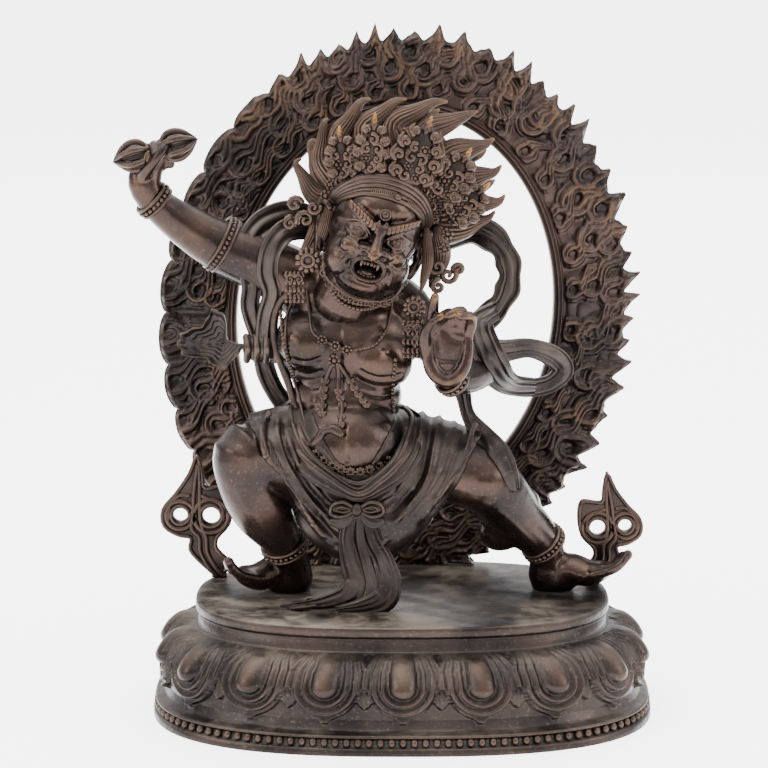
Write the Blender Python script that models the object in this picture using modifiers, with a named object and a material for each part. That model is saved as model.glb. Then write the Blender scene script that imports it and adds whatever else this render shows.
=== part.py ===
"""A bronze figure of a wrathful guardian that stands on a lotus base, before a ring of flames.

Five castings: the lotus base, the figure, the flame aureole and the two cloud sprigs beside the feet.
Metres, +Z up. The figure faces -Y. The origin is the centre of the base's underside.
"""

import math

import bmesh
import bpy
from mathutils import Matrix, Vector

# Lotus base
BASE_LENGTH = 0.238
BASE_DEPTH = 0.168
BASE_ROUNDNESS = 2.6  # exponent of the oval outline: 2 is an ellipse, more is squarer
RIM_HEIGHT = 0.0035
BEAD_BAND_TOP = 0.0083
COVE_INSET = 0.005
PETAL_COUNT = 18
PETAL_TIP_HEIGHT = 0.016
PETAL_TOP_HEIGHT = 0.0425
PETAL_BULGE = 0.0008
PLATE_HEIGHT = 0.0552
PLATE_BAND = 0.0055
PLATE_INSET = 0.0205
SEGMENTS_PER_PETAL = 6

# Fits between the castings
SEAT_GAP = 0.0003
SOCKET_CLEARANCE = 0.0003
TANG_DEPTH = 0.008

# Figure: its pose is written in millimetres for a figure 238 mm tall, above the plate
FIGURE_HEIGHT = 0.238
POSE_HEIGHT = 238.0
FIGURE_VOXEL = 0.0016
FIGURE_TRIANGLES = 4550

# Flame aureole
RING_CENTRE_X = -0.0033
RING_CENTRE_HEIGHT = 0.1265  # above the plate
RING_INNER_WIDTH = 0.154
RING_INNER_HEIGHT = 0.196
RING_BAND = 0.037
RING_LEAN = 0.05  # sideways shift for each unit of height
RING_THICKNESS = 0.005
RING_EDGE_INSET = 0.0035  # from the plate's back edge to the ring's back
RIM_BEAD = 0.0042
RING_STEPS = 72
FLAME_ROWS = ((0.3, 24, 0.0056), (0.9, 40, 0.0056))  # place across the band, count, head radius
FLAME_RISE = 0.0032
RING_TANG_WIDTH = 0.006
RING_TANG_SPACING = 0.040
RING_TANG_SET_IN = 0.0006  # behind the ring's front
RING_TANG_GRIP = 0.009  # into the ring's band, where the tangs meet it
SLIVER_VERTICES = 40
AUREOLE_VOXEL = 0.0013
AUREOLE_TRIANGLES = 2250

# Cloud sprigs
SPRIG_HEIGHT = 0.061
SPRIG_DRAWN_HEIGHT = 61.0  # the outline below is in millimetres at this height
SPRIG_THICKNESS = 0.0055
SPRIG_EDGE_INSET = 0.0042  # from the plate's edge to the middle of the stem
LEFT_SPRIG_SET_BACK = 0.47  # share of the plate's half depth
RIGHT_SPRIG_SET_BACK = 0.3
RIGHT_SPRIG_SCALE = 0.89
RIGHT_SPRIG_LEAN = 3.0  # degrees towards the figure


def clear_scene():
    for obj in list(bpy.data.objects):
        bpy.data.objects.remove(obj)


def make_material(name, colour, roughness):
    material = bpy.data.materials.new(name)
    material.use_nodes = True
    shader = material.node_tree.nodes["Principled BSDF"]
    shader.inputs["Base Color"].default_value = (*colour, 1.0)
    shader.inputs["Roughness"].default_value = roughness
    shader.inputs["Metallic"].default_value = 0.9
    return material


def add_object(name, mesh, collection, material):
    obj = bpy.data.objects.new(name, mesh)
    collection.objects.link(obj)
    mesh.materials.clear()
    mesh.materials.append(material)
    return obj


def evaluated_mesh(obj, name):
    graph = bpy.context.evaluated_depsgraph_get()
    return bpy.data.meshes.new_from_object(obj.evaluated_get(graph), depsgraph=graph)


def oval_point(angle, half_length, half_depth):
    """A point of the base's oval outline, at this angle of its parameter."""
    power = 2.0 / BASE_ROUNDNESS
    across, along = math.cos(angle), math.sin(angle)
    x = math.copysign(abs(across) ** power, across) * half_length
    y = math.copysign(abs(along) ** power, along) * half_depth
    return x, y


def even_oval_angles(count):
    """Parameter angles at even distances along the outline, from the front's middle."""
    fine = 2880
    start = -math.pi / 2
    angles = [start + math.tau * k / fine for k in range(fine + 1)]
    points = [oval_point(a, BASE_LENGTH / 2, BASE_DEPTH / 2) for a in angles]
    run = [0.0]
    for (x0, y0), (x1, y1) in zip(points, points[1:]):
        run.append(run[-1] + math.hypot(x1 - x0, y1 - y0))
    found, k = [], 0
    for n in range(count):
        target = run[-1] * n / count
        while run[k + 1] < target:
            k += 1
        share = (target - run[k]) / max(run[k + 1] - run[k], 1e-12)
        found.append(angles[k] + share * (angles[k + 1] - angles[k]))
    return found


def base_profile(share):
    """(inset, height) rows up the base's side. share is 0 in a petal's middle and 1 between two petals."""
    arch = share * share
    tip = PETAL_TIP_HEIGHT + 0.008 * arch
    rise = PETAL_TOP_HEIGHT - PETAL_TIP_HEIGHT
    groove = 0.0032 * share**3
    boss = 0.0016 * max(0.0, 1 - (share / 0.55) ** 2)
    return (
        (0.0, 0.0),
        (0.0, RIM_HEIGHT),
        (0.0012, BEAD_BAND_TOP),
        (COVE_INSET, tip - 0.0012),
        (0.001 + groove, tip),
        (groove - PETAL_BULGE - 0.6 * boss, PETAL_TIP_HEIGHT + 0.42 * rise),
        (0.0045 + groove - boss, PETAL_TIP_HEIGHT + 0.76 * rise),
        (0.0150 + 0.4 * groove - 0.5 * boss, PETAL_TOP_HEIGHT - 0.001),
        (PLATE_INSET + 0.0009, PETAL_TOP_HEIGHT),
        (PLATE_INSET + 0.0012, PLATE_HEIGHT - PLATE_BAND),
        (PLATE_INSET, PLATE_HEIGHT),
    )


def make_lotus_base(collection, material):
    count = PETAL_COUNT * SEGMENTS_PER_PETAL
    angles = even_oval_angles(count)
    columns = []
    for n, angle in enumerate(angles):
        within = (n % SEGMENTS_PER_PETAL) / SEGMENTS_PER_PETAL
        share = 2 * min(within, 1 - within)
        columns.append((angle, base_profile(share)))
    bm = bmesh.new()
    made = bmesh.ops.create_circle(bm, cap_ends=True, radius=1.0, segments=count)
    ring = sorted(made["verts"], key=lambda v: math.atan2(v.co.y, v.co.x) % math.tau)
    place_ring(ring, columns, 0)
    for row in range(1, len(columns[0][1])):
        edges = [bm.edges.get((a, b)) for a, b in zip(ring, ring[1:] + ring[:1])]
        made = bmesh.ops.extrude_edge_only(bm, edges=edges)
        partner = {}
        new = {g for g in made["geom"] if isinstance(g, bmesh.types.BMVert)}
        for vert in ring:
            others = [e.other_vert(vert) for e in vert.link_edges]
            partner[vert] = next(v for v in others if v in new)
        ring = [partner[v] for v in ring]
        place_ring(ring, columns, row)
    edges = [bm.edges.get((a, b)) for a, b in zip(ring, ring[1:] + ring[:1])]
    bmesh.ops.contextual_create(bm, geom=edges)
    bmesh.ops.triangulate(bm, faces=[f for f in bm.faces if len(f.verts) == 4])
    bmesh.ops.recalc_face_normals(bm, faces=bm.faces[:])
    mesh = bpy.data.meshes.new("lotus_base")
    bm.to_mesh(mesh)
    bm.free()
    mesh.shade_smooth()
    mesh.set_sharp_from_angle(angle=math.radians(35))
    return add_object("lotus_base", mesh, collection, material)


def place_ring(ring, columns, row):
    for vert, (angle, profile) in zip(ring, columns):
        inset, height = profile[row]
        x, y = oval_point(angle, BASE_LENGTH / 2 - inset, BASE_DEPTH / 2 - inset)
        vert.co = (x, y, height)


def smooth_path(points, steps):
    """Points of a Catmull-Rom curve through control rows of any width, steps to a span."""
    rows = [tuple(map(float, p)) for p in points]
    padded = [rows[0], *rows, rows[-1]]
    found = []
    for k in range(len(rows) - 1):
        a, b, c, d = padded[k : k + 4]
        for s in range(steps):
            t = s / steps
            found.append(
                [
                    q + 0.5 * t * (r - p + t * (2 * p - 5 * q + 4 * r - w + t * (3 * q - p - 3 * r + w)))
                    for p, q, r, w in zip(a, b, c, d)
                ]
            )
    found.append(list(rows[-1]))
    return found


def add_ring(bm, centre, along, across, half_width, half_height, sides):
    """One closed loop of edges round a path. across is the direction of its width."""
    along = along.normalized()
    across = (across - along * across.dot(along)).normalized()
    up = along.cross(across)
    turn = Matrix((across * half_width, up * half_height, along)).transposed().to_4x4()
    made = bmesh.ops.create_circle(
        bm, radius=1.0, segments=sides, matrix=Matrix.Translation(centre) @ turn
    )
    return made["verts"]


def ring_edges(ring):
    inside = set(ring)
    return {e for v in ring for e in v.link_edges if e.other_vert(v) in inside}


def limb(bm, rows, facing=(0, -1, 0), steps=3, sides=10):
    """A limb. Each row is x, y, z, half width, half thickness. Its width lies across its facing."""
    if len(rows[0]) == 4:
        rows = [(*row, row[3]) for row in rows]
    stations = smooth_path(rows, steps)
    centres = [Vector(s[:3]) for s in stations]
    facing = Vector(facing)
    rings = []
    for k, station in enumerate(stations):
        along = centres[min(k + 1, len(centres) - 1)] - centres[max(k - 1, 0)]
        across = along.cross(facing)
        if across.length < 1e-6 * max(along.length, 1e-6) or not across.length:
            across = Vector((1, 0, 0))
        ends = ((1.0, 0.0),)
        if k == 0:
            ends = ((0.45, -0.85), (0.85, -0.5), (1.0, 0.0))
        elif k == len(stations) - 1:
            ends = ((1.0, 0.0), (0.85, 0.5), (0.45, 0.85))
        for shrink, reach in ends:
            centre = centres[k] + along.normalized() * reach * station[4]
            wide, thick = station[3] * shrink, station[4] * shrink
            rings.append(add_ring(bm, centre, along, across, wide, thick, sides))
    for ring, following in zip(rings, rings[1:]):
        bmesh.ops.bridge_loops(bm, edges=list(ring_edges(ring) | ring_edges(following)))
    for ring in (rings[0], rings[-1]):
        bmesh.ops.contextual_create(bm, geom=list(ring_edges(ring)))


def sleeve(bm, rows, sides=16):
    """A cloth tube. Each row is x, y, z, half height, half depth and its rim's lean in degrees."""
    rings = []
    for x, y, z, half_height, half_depth, lean in rows:
        turn = Matrix.Rotation(math.radians(lean), 4, "Y")
        size = Matrix.Diagonal((1.0, half_depth, half_height, 1.0))
        stand = Matrix.Rotation(math.pi / 2, 4, "Y")
        matrix = Matrix.Translation((x, y, z)) @ turn @ size @ stand
        rings.append(bmesh.ops.create_circle(bm, radius=1.0, segments=sides, matrix=matrix)["verts"])
    for ring, following in zip(rings, rings[1:]):
        bmesh.ops.bridge_loops(bm, edges=list(ring_edges(ring) | ring_edges(following)))
    for ring in (rings[0], rings[-1]):
        bmesh.ops.contextual_create(bm, geom=list(ring_edges(ring)))


def blob(bm, centre, radii, tilt=0.0):
    """An ellipsoid, tilted in the picture plane. A positive tilt leans its top to +X."""
    turn = Matrix.Rotation(math.radians(tilt), 4, "Y")
    size = Matrix.Diagonal((*radii, 1.0))
    bmesh.ops.create_icosphere(
        bm, subdivisions=2, radius=1.0, matrix=Matrix.Translation(centre) @ turn @ size
    )


HEAD_TILT = 21


def add_torso(bm):
    blob(bm, (-22, 0, 57), (31, 22, 19))
    blob(bm, (-25, -12, 77), (28, 24, 24))
    blob(bm, (-26, -5, 97), (26.5, 21, 21))
    blob(bm, (-27, -3, 121), (35, 22, 26))
    blob(bm, (-44, -15, 122), (16, 11, 14))
    blob(bm, (-10, -16, 114), (17, 12, 15))
    limb(bm, [(-52, 4, 148, 14), (-27, 4, 147, 17), (0, 4, 137, 14)], facing=(0, 0, 1))
    limb(bm, [(-27, 0, 138, 18), (-22, -9, 158, 15)])


def add_head(bm):
    blob(bm, (-8, -12, 183), (23.5, 23, 24), HEAD_TILT)
    blob(bm, (-17, -21, 163), (20, 17, 17), HEAD_TILT)
    blob(bm, (-16, -38, 170), (4.5, 5, 6), HEAD_TILT)
    blob(bm, (-17, -36, 162), (9.5, 5, 6.5), HEAD_TILT)
    blob(bm, (-27, -31, 172), (6.5, 6.5, 6), HEAD_TILT)
    blob(bm, (-2, -33, 164), (7, 6.5, 6), HEAD_TILT)
    blob(bm, (-26, -30, 183), (7.5, 6, 6), 30)
    blob(bm, (-3, -32, 176), (8.5, 6, 6), 5)
    blob(bm, (-36, -6, 166), (8, 9, 20), 12)
    blob(bm, (9, -7, 153), (8, 9, 20), 12)
    blob(bm, (12, -4, 172), (12, 11, 22), 25)


def add_crown(bm):
    band = []
    for k in range(13):
        turn = math.tau * k / 12
        across, depth = 26.5 * math.cos(turn), 26 * math.sin(turn)
        tilt = math.radians(HEAD_TILT)
        band.append((-3 + across * math.cos(tilt), -10 + depth, 197 - across * math.sin(tilt), 3.4, 3.8))
    limb(bm, band, facing=(math.sin(math.radians(HEAD_TILT)), 0, math.cos(math.radians(HEAD_TILT))))
    leaves = (
        ((-27, -22, 211), (5.5, 4, 12), 0),
        ((-15, -27, 214), (6, 4, 17), 8),
        ((1, -28, 210), (10.5, 4, 17), 20),
        ((17, -23, 205), (9, 4, 16), 38),
        ((27, -13, 195), (7, 4.5, 14), 58),
    )
    for centre, radii, tilt in leaves:
        blob(bm, centre, radii, tilt)


def add_hair(bm):
    blob(bm, (2, 2, 196), (31, 15, 30), HEAD_TILT)
    locks = (
        ((-32, -4, 184), (-42, -5, 195), (-50, -6, 207)),
        ((-26, -2, 200), (-36, -3, 212), (-36, -5, 227)),
        ((-16, 0, 206), (-26, -1, 223), (-17, -3, 238)),
        ((-4, 0, 210), (-13, -1, 226), (-1, -3, 238)),
        ((6, 2, 208), (3, 1, 227), (20, -2, 236)),
        ((14, 3, 205), (18, 2, 223), (34, -1, 232)),
        ((18, 4, 200), (28, 3, 213), (42, 0, 219)),
        ((20, 4, 192), (33, 4, 200), (46, 1, 206)),
        ((20, 4, 183), (33, 4, 187), (47, 1, 192)),
        ((-14, 6, 206), (-20, 8, 219), (-12, 8, 232)),
        ((4, 8, 206), (4, 10, 222), (14, 9, 231)),
        ((16, 10, 196), (26, 11, 206), (36, 9, 212)),
    )
    for root, middle, tip in locks:
        limb(bm, [(*root, 8.5, 7), (*middle, 6, 4.6), (*tip, 1.9, 1.9)])


def add_ears(bm):
    blob(bm, (-45, -13, 163), (8.5, 5, 8.5))
    blob(bm, (4.5, -22, 144), (8, 5, 8))
    limb(bm, [(-45, -14, 158, 7, 4), (-51, -14, 146, 6, 4), (-55, -12, 138, 4, 3)])
    limb(bm, [(5, -21, 140, 9, 4), (4, -20, 128, 8.5, 4), (7, -18, 118, 6, 3.5)])
    limb(bm, [(-38, -6, 180, 7, 6), (-46, -4, 184, 6.5, 5), (-53, -4, 193, 3, 3)])
    limb(bm, [(10, -6, 158, 8, 6), (19, -8, 155, 6.5, 5), (29, -9, 158, 3, 3)])


def add_raised_arm(bm):
    limb(
        bm,
        [
            (-50, 2, 151, 15), (-70, 0, 161, 13.5), (-86, -2, 168, 12.4), (-103, -6, 179, 10),
            (-117, -10, 191, 7.6),
        ],
    )
    limb(bm, [(-116, -10, 190, 7.8), (-118, -12, 200, 8.2), (-113, -12, 208, 6.5)])
    limb(bm, [(-119, -17, 198, 4), (-114, -20, 209, 3.2), (-111, -20, 216, 2.6)])
    limb(bm, [(-111, -8, 205, 5), (-107, -8, 214, 4), (-110, -13, 219, 3)])


def add_thunderbolt(bm):
    """The double-ended sceptre in the raised hand."""
    start, end = Vector((-133.6, -16, 208.5)), Vector((-93.8, -16, 219.8))
    shares = (
        (0.0, 1.6), (0.08, 2.2), (0.2, 6.2), (0.34, 5.6), (0.42, 3), (0.5, 3.6), (0.58, 3),
        (0.66, 6.4), (0.8, 7), (0.93, 2.6), (1.0, 2),
    )
    rows = [(*start.lerp(end, share), radius) for share, radius in shares]
    limb(bm, rows, steps=2)


def add_front_arm(bm):
    limb(
        bm,
        [
            (0, 3, 138, 13), (13, -1, 124, 11.5), (31, -8, 114, 10.5), (38, -14, 114, 9.5),
            (31, -27, 111, 8.8), (22, -38, 111, 7.6),
        ],
    )
    limb(bm, [(21, -39, 112, 8.5, 6), (20.5, -42, 126, 10.5, 5), (20.5, -42, 138, 9.5, 4)])
    limb(bm, [(15, -42, 138, 3.4), (14, -43, 147, 2.8)])
    limb(bm, [(21, -42, 139, 3.6), (20, -46, 144, 3), (18, -49, 139, 2.6)])
    limb(bm, [(28, -41, 138, 3.6), (27, -45, 144, 3), (25, -48, 139, 2.6)])


def add_legs(bm):
    limb(
        bm,
        [
            (-32, -3, 58, 19), (-55, -18, 69, 18.5), (-74, -28, 75, 14.5), (-73, -27, 61, 14.5),
            (-66, -19, 45, 13.5), (-57.5, -8, 28, 10), (-53.5, 0, 17, 9.3), (-51, 4, 5, 9),
        ],
    )
    left_foot = [(-50, 6, 3, 9, 7), (-61, 1, 6, 8.5, 7), (-73, -5, 9.5, 8.5, 5), (-81, -11, 15, 6.5, 4)]
    limb(bm, [*left_foot, (-86, -14, 20, 4, 3)], (0, 0, 1))
    limb(
        bm,
        [
            (-6, -2, 67, 19), (17, -10, 66, 18.5), (38, -17, 59, 16), (53, -8, 40, 13.8),
            (68, 4, 22, 9.8), (69, 7, 6, 8.8),
        ],
    )
    right_foot = [(68, 7, 3, 9, 7), (83, 3, 8, 9, 8), (95, 0, 11, 8.5, 6.5), (104, -2, 16, 6.5, 4.5)]
    limb(bm, [*right_foot, (110, -2, 20.5, 4, 3)], (0, 0, 1))


def add_skirt(bm):
    blob(bm, (-23, 2, 58), (33, 24, 22))
    sleeve(bm, [(-25, -2, 66, 26, 22, -8), (-42, -11, 64, 32, 22, -24), (-53, -18, 60, 36.5, 21, -33)])
    sleeve(bm, [(-16, -2, 66, 26, 22, 8), (2, -8, 61, 29, 22, 24), (15, -13, 56, 31.5, 21, 35)])
    sleeve(
        bm,
        [
            (-42, -20, 50, 12, 9, 0), (-30, -22, 43, 17, 9, 0), (-18, -21, 40, 20.5, 9, 0),
            (-6, -22, 43, 16, 9, 0), (6, -21, 49, 11, 9, 0),
        ],
    )
    roll = [
        (-55, -4, 101), (-55, -16, 84), (-48, -27, 68), (-35, -32, 57), (-21, -33.5, 52),
        (-7, -32, 57), (4, -27, 68), (5, -16, 84), (2, -4, 101),
    ]
    limb(bm, [(*p, 4.2, 3.6) for p in roll])
    limb(bm, [(-37, -33, 48, 5), (-21, -37, 49, 3.5), (-6, -33, 48, 5)])


def add_ribbons(bm):
    fall = [(-21, -32, 48, 6, 4), (-24, -29, 31, 8, 4.5), (-21, -26, 16, 10, 4.5), (-20, -24, 3, 13, 5)]
    limb(bm, fall)
    limb(bm, [(-14, -25, 1, 7, 4), (-36, -27, 1, 5, 3.2), (-57, -27, 1, 2, 2.4)], (0, 0, 1))


def add_scarf(bm):
    limb(
        bm,
        [
            (-44, 9, 174, 7, 3), (-60, 5, 179, 7, 3), (-70, -3, 173, 6, 3), (-72.5, -8, 162, 6, 2.6),
            (-70, -7, 150, 6, 2.6), (-69, -4, 138, 5.5, 2.6), (-71, -2, 130, 5.5, 2.6),
            (-67, 0, 119, 6, 3), (-64, 2, 108, 5, 2.6), (-52, 3, 86, 6, 3),
        ],
    )
    blob(bm, (-74, -3, 120), (9, 5, 8), 20)
    blob(bm, (-91, -5, 127), (13, 3.6, 11), -20)
    blob(bm, (-86, -4, 119), (10, 4, 8), 30)
    limb(
        bm,
        [
            (4, 12, 164, 8, 4), (20, 14, 170, 8, 3), (32, 14, 172, 7, 2.6), (43, 11, 165, 7, 2.6),
            (49, 8, 152, 7, 2.6), (47, 4, 139, 6.5, 2.6), (39, 0, 130, 6.5, 2.6), (30, -7, 125, 7, 3),
        ],
    )
    limb(
        bm,
        [
            (31, -6, 124, 7, 3), (46, 0, 116, 5, 2.6), (62, 8, 117, 4, 2.6), (74, 17, 110, 6, 2.6),
            (76, 19, 102, 6, 2.6), (62, 12, 99, 4.5, 2.6), (48, 3, 104, 5, 2.6), (36, -6, 114, 6, 3),
        ],
    )
    limb(
        bm,
        [
            (27, -20, 106, 7, 4), (29, -15, 97, 4, 2.6), (31, -13, 88, 3.6, 2.6), (38, -16, 79, 6, 2.6),
            (44, -22, 70, 9, 3), (48, -22, 60, 7, 3),
        ],
    )


def fused(bm, name, voxel, triangles):
    """The shapes of a bmesh in metres as one closed skin with about so many triangles."""
    bmesh.ops.recalc_face_normals(bm, faces=bm.faces[:])
    mesh = bpy.data.meshes.new(name)
    bm.to_mesh(mesh)
    bm.free()
    obj = bpy.data.objects.new(name, mesh)
    bpy.context.scene.collection.objects.link(obj)
    skin = obj.modifiers.new("Skin", "REMESH")
    skin.mode = "VOXEL"
    skin.voxel_size = voxel
    smooth = obj.modifiers.new("Soften", "SMOOTH")
    smooth.factor = 0.5
    smooth.iterations = 2
    dense = evaluated_mesh(obj, name)
    thin = obj.modifiers.new("Thin", "DECIMATE")
    thin.ratio = min(1.0, triangles / (2.0 * len(dense.polygons)))
    coarse = evaluated_mesh(obj, name)
    bpy.data.objects.remove(obj)
    bpy.data.meshes.remove(dense)
    return coarse


def linked(verts):
    """These vertices and all that their edges lead to."""
    found = set(verts)
    queue = list(verts)
    while queue:
        for edge in queue.pop().link_edges:
            for vert in edge.verts:
                if vert not in found:
                    found.add(vert)
                    queue.append(vert)
    return found


def drop_slivers(bm):
    """Deletes the specks of a few faces that a cut can leave beside the casting."""
    waiting = set(bm.verts)
    while waiting:
        part = linked([next(iter(waiting))])
        waiting -= part
        if len(part) < SLIVER_VERTICES:
            bmesh.ops.delete(bm, geom=list(part), context="VERTS")


def cut_flat(mesh, height):
    """Cuts off what lies below this height and closes the cut with a flat face."""
    bm = bmesh.new()
    bm.from_mesh(mesh)
    everything = bm.verts[:] + bm.edges[:] + bm.faces[:]
    made = bmesh.ops.bisect_plane(
        bm, geom=everything, dist=1e-6, plane_co=(0, 0, height), plane_no=(0, 0, -1), clear_outer=True
    )
    edges = [g for g in made["geom_cut"] if isinstance(g, bmesh.types.BMEdge)]
    bmesh.ops.holes_fill(bm, edges=edges, sides=0)
    bmesh.ops.triangulate(bm, faces=bm.faces[:])
    drop_slivers(bm)
    bm.to_mesh(mesh)
    bm.free()


def make_figure(collection, material):
    bm = bmesh.new()
    for add in (
        add_torso, add_head, add_crown, add_hair, add_ears, add_raised_arm, add_thunderbolt,
        add_front_arm, add_legs, add_skirt, add_ribbons, add_scarf,
    ):
        add(bm)
    scale = FIGURE_HEIGHT / POSE_HEIGHT
    bmesh.ops.scale(bm, vec=(scale, scale, scale), verts=bm.verts)
    bmesh.ops.translate(bm, vec=(0, 0, PLATE_HEIGHT), verts=bm.verts)
    mesh = fused(bm, "figure", FIGURE_VOXEL, FIGURE_TRIANGLES)
    cut_flat(mesh, PLATE_HEIGHT + SEAT_GAP)
    return add_object("figure", mesh, collection, material)


def ring_point(angle, across):
    """(x, height) on the aureole. across is 0 at the inner edge and 1 at the band's outer edge."""
    half_width = RING_INNER_WIDTH / 2 + RING_BAND * across
    half_height = RING_INNER_HEIGHT / 2 + RING_BAND * across
    rise = half_height * math.sin(angle)
    x = RING_CENTRE_X + half_width * math.cos(angle) + RING_LEAN * rise
    return x, PLATE_HEIGHT + RING_CENTRE_HEIGHT + rise


def flame_heading(angle):
    """The way a flame's tip points: to the right and upwards, and more outwards on the right."""
    side = math.cos(angle)
    return math.radians(42 + 22 * math.sin(angle) - 12 * max(0.0, side) - 14 * max(0.0, -side))


def add_flame(bm, x, height, y, radius, heading, rise):
    """One comma-shaped tongue of flame: a round head with a pit, and a tail that waves to its tip."""
    outline = [(-1.0, 0.0), (-0.6, -0.75), (0.2, -0.95), (1.0, -0.7), (1.8, -0.6), (2.7, 0.3)]
    outline += [(1.7, 0.15), (1.2, 0.6), (0.4, 0.95), (-0.6, 0.8)]
    made = bmesh.ops.create_circle(bm, cap_ends=True, radius=1.0, segments=len(outline))
    verts = sorted(made["verts"], key=lambda v: math.atan2(v.co.y, v.co.x))
    for vert, (along, across) in zip(verts, outline):
        vert.co = (along * radius, across * radius, -0.003)
    face = next(iter({f for v in verts for f in v.link_faces}))
    for shrink, level in ((1.0, rise), (0.55, rise * 1.15), (0.6, rise * 0.1)):
        made = bmesh.ops.extrude_discrete_faces(bm, faces=[face])
        face = made["faces"][0]
        for vert in face.verts:
            vert.co = (vert.co.x * shrink, vert.co.y * shrink, level)
    links = linked(verts)
    base = [f for f in bm.faces if all(v in links for v in f.verts)]
    open_edges = [e for f in base for e in f.edges if len(e.link_faces) == 1]
    if open_edges:
        bmesh.ops.contextual_create(bm, geom=list(set(open_edges)))
    stand = Matrix.Rotation(math.pi / 2, 4, "X")
    turn = Matrix.Rotation(-heading, 4, "Y")
    bmesh.ops.transform(bm, matrix=Matrix.Translation((x, y, height)) @ turn @ stand, verts=list(links))


def add_hoop(bm, across, front, back, half_width):
    """A closed band of four-sided section that follows the ring."""
    rings = []
    for k in range(RING_STEPS):
        angle = math.tau * k / RING_STEPS
        corners = []
        for side, y in ((-1, front), (1, front), (1, back), (-1, back)):
            x, height = ring_point(angle, across + side * half_width / RING_BAND)
            corners.append(bm.verts.new((x, y, height)))
        rings.append(corners)
    for ring, following in zip(rings, rings[1:] + rings[:1]):
        for k in range(4):
            n = (k + 1) % 4
            bm.faces.new((ring[k], ring[n], following[n], following[k]))


def aureole_back():
    return BASE_DEPTH / 2 - PLATE_INSET - RING_EDGE_INSET


def ring_tang_thickness():
    return RING_THICKNESS * 0.6


def tang_middle():
    """The tangs stand level with the ring's front, so that the sockets stay clear of the neck's back."""
    return aureole_back() - RING_THICKNESS + ring_tang_thickness() / 2 + RING_TANG_SET_IN


def ring_tangs():
    middle = ring_point(-math.pi / 2, 1.0)[0]
    return [middle - RING_TANG_SPACING / 2, middle + RING_TANG_SPACING / 2]


def make_aureole(collection, material):
    back = aureole_back()
    front = back - RING_THICKNESS
    bm = bmesh.new()
    add_hoop(bm, 0.46, front, back, 0.46 * RING_BAND)
    add_hoop(bm, RIM_BEAD / RING_BAND / 2, front - FLAME_RISE * 0.7, back, RIM_BEAD / 2)
    for row, (across, count, radius) in enumerate(FLAME_ROWS):
        for k in range(count):
            angle = -math.pi / 2 + math.tau * (k + 0.5 * (row % 2)) / count
            left = max(0.0, -math.cos(angle))
            right = max(0.0, math.cos(angle - 0.5))
            x, height = ring_point(angle, across + (0.06 * left - 0.03 * right) * (row > 0))
            size = radius * (1 + 0.45 * left)
            add_flame(bm, x, height, front, size, flame_heading(angle), FLAME_RISE)
    mesh = fused(bm, "flame_aureole", AUREOLE_VOXEL, AUREOLE_TRIANGLES)
    cut_flat(mesh, PLATE_HEIGHT + SEAT_GAP)
    obj = add_object("flame_aureole", mesh, collection, material)
    bottom = PLATE_HEIGHT + SEAT_GAP - TANG_DEPTH
    top = max(PLATE_HEIGHT + SEAT_GAP, ring_point(-math.pi / 2, 1.0)[1]) + RING_TANG_GRIP
    for x in ring_tangs():
        size = (RING_TANG_WIDTH, ring_tang_thickness(), top - bottom)
        join_box(obj, (x, tang_middle(), (top + bottom) / 2), size)
    return obj


SPRIG_OUTLINE = (
    (-3.5, -2), (-3.5, 3), (-9, 8), (-14, 14), (-13.5, 20), (-20, 21.5), (-27, 26), (-27.5, 34),
    (-21, 42), (-14, 52), (-10, 61), (-7.6, 52), (-6, 45), (4.5, 46), (7, 37), (5.5, 27),
    (-0.5, 20), (-0.5, 14), (6, 7), (3.5, 3), (3.5, -2),
)
SPRIG_HOLES = ((-18.5, 31.3, 3.6), (-3.6, 30.8, 4.3))


def make_sprig(side, collection, material):
    """A cloud-scroll sprig. side is -1 on the left and 1 on the right, where it is mirrored and shorter."""
    name = "cloud_sprig_left" if side < 0 else "cloud_sprig_right"
    scale = SPRIG_HEIGHT / SPRIG_DRAWN_HEIGHT * (1.0 if side < 0 else RIGHT_SPRIG_SCALE)
    curve = bpy.data.curves.new(name, "CURVE")
    curve.dimensions = "2D"
    curve.fill_mode = "BOTH"
    curve.extrude = SPRIG_THICKNESS / 2
    loops = [smooth_path(SPRIG_OUTLINE, 2)]
    for x, height, radius in SPRIG_HOLES:
        turns = [math.tau * k / 10 for k in range(10)]
        loops.append([(x + radius * math.cos(t), height + radius * math.sin(t)) for t in turns])
    for loop in loops:
        spline = curve.splines.new("POLY")
        spline.points.add(len(loop) - 1)
        for point, (x, height) in zip(spline.points, loop):
            point.co = (-side * x * scale, height * scale, 0, 1)
        spline.use_cyclic_u = True
    drawing = bpy.data.objects.new(name, curve)
    collection.objects.link(drawing)
    mesh = evaluated_mesh(drawing, name)
    x, y = sprig_place(side)
    lean = math.radians(RIGHT_SPRIG_LEAN if side > 0 else 0.0)
    stand = Matrix.Rotation(-lean, 4, "Y") @ Matrix.Rotation(math.pi / 2, 4, "X")
    mesh.transform(Matrix.Translation((x, y, PLATE_HEIGHT)) @ stand)
    bpy.data.objects.remove(drawing)
    bm = bmesh.new()
    bm.from_mesh(mesh)
    bmesh.ops.remove_doubles(bm, verts=bm.verts, dist=1e-5)
    bmesh.ops.recalc_face_normals(bm, faces=bm.faces[:])
    bm.to_mesh(mesh)
    bm.free()
    cut_flat(mesh, PLATE_HEIGHT + SEAT_GAP)
    return add_object(name, mesh, collection, material)


def sprig_place(side):
    """(x, y) of a sprig's stem, just inside the plate's edge."""
    share = LEFT_SPRIG_SET_BACK if side < 0 else RIGHT_SPRIG_SET_BACK
    edge = (BASE_LENGTH / 2 - PLATE_INSET) * (1 - share**BASE_ROUNDNESS) ** (1 / BASE_ROUNDNESS)
    return side * (edge - SPRIG_EDGE_INSET), share * (BASE_DEPTH / 2 - PLATE_INSET)


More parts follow.
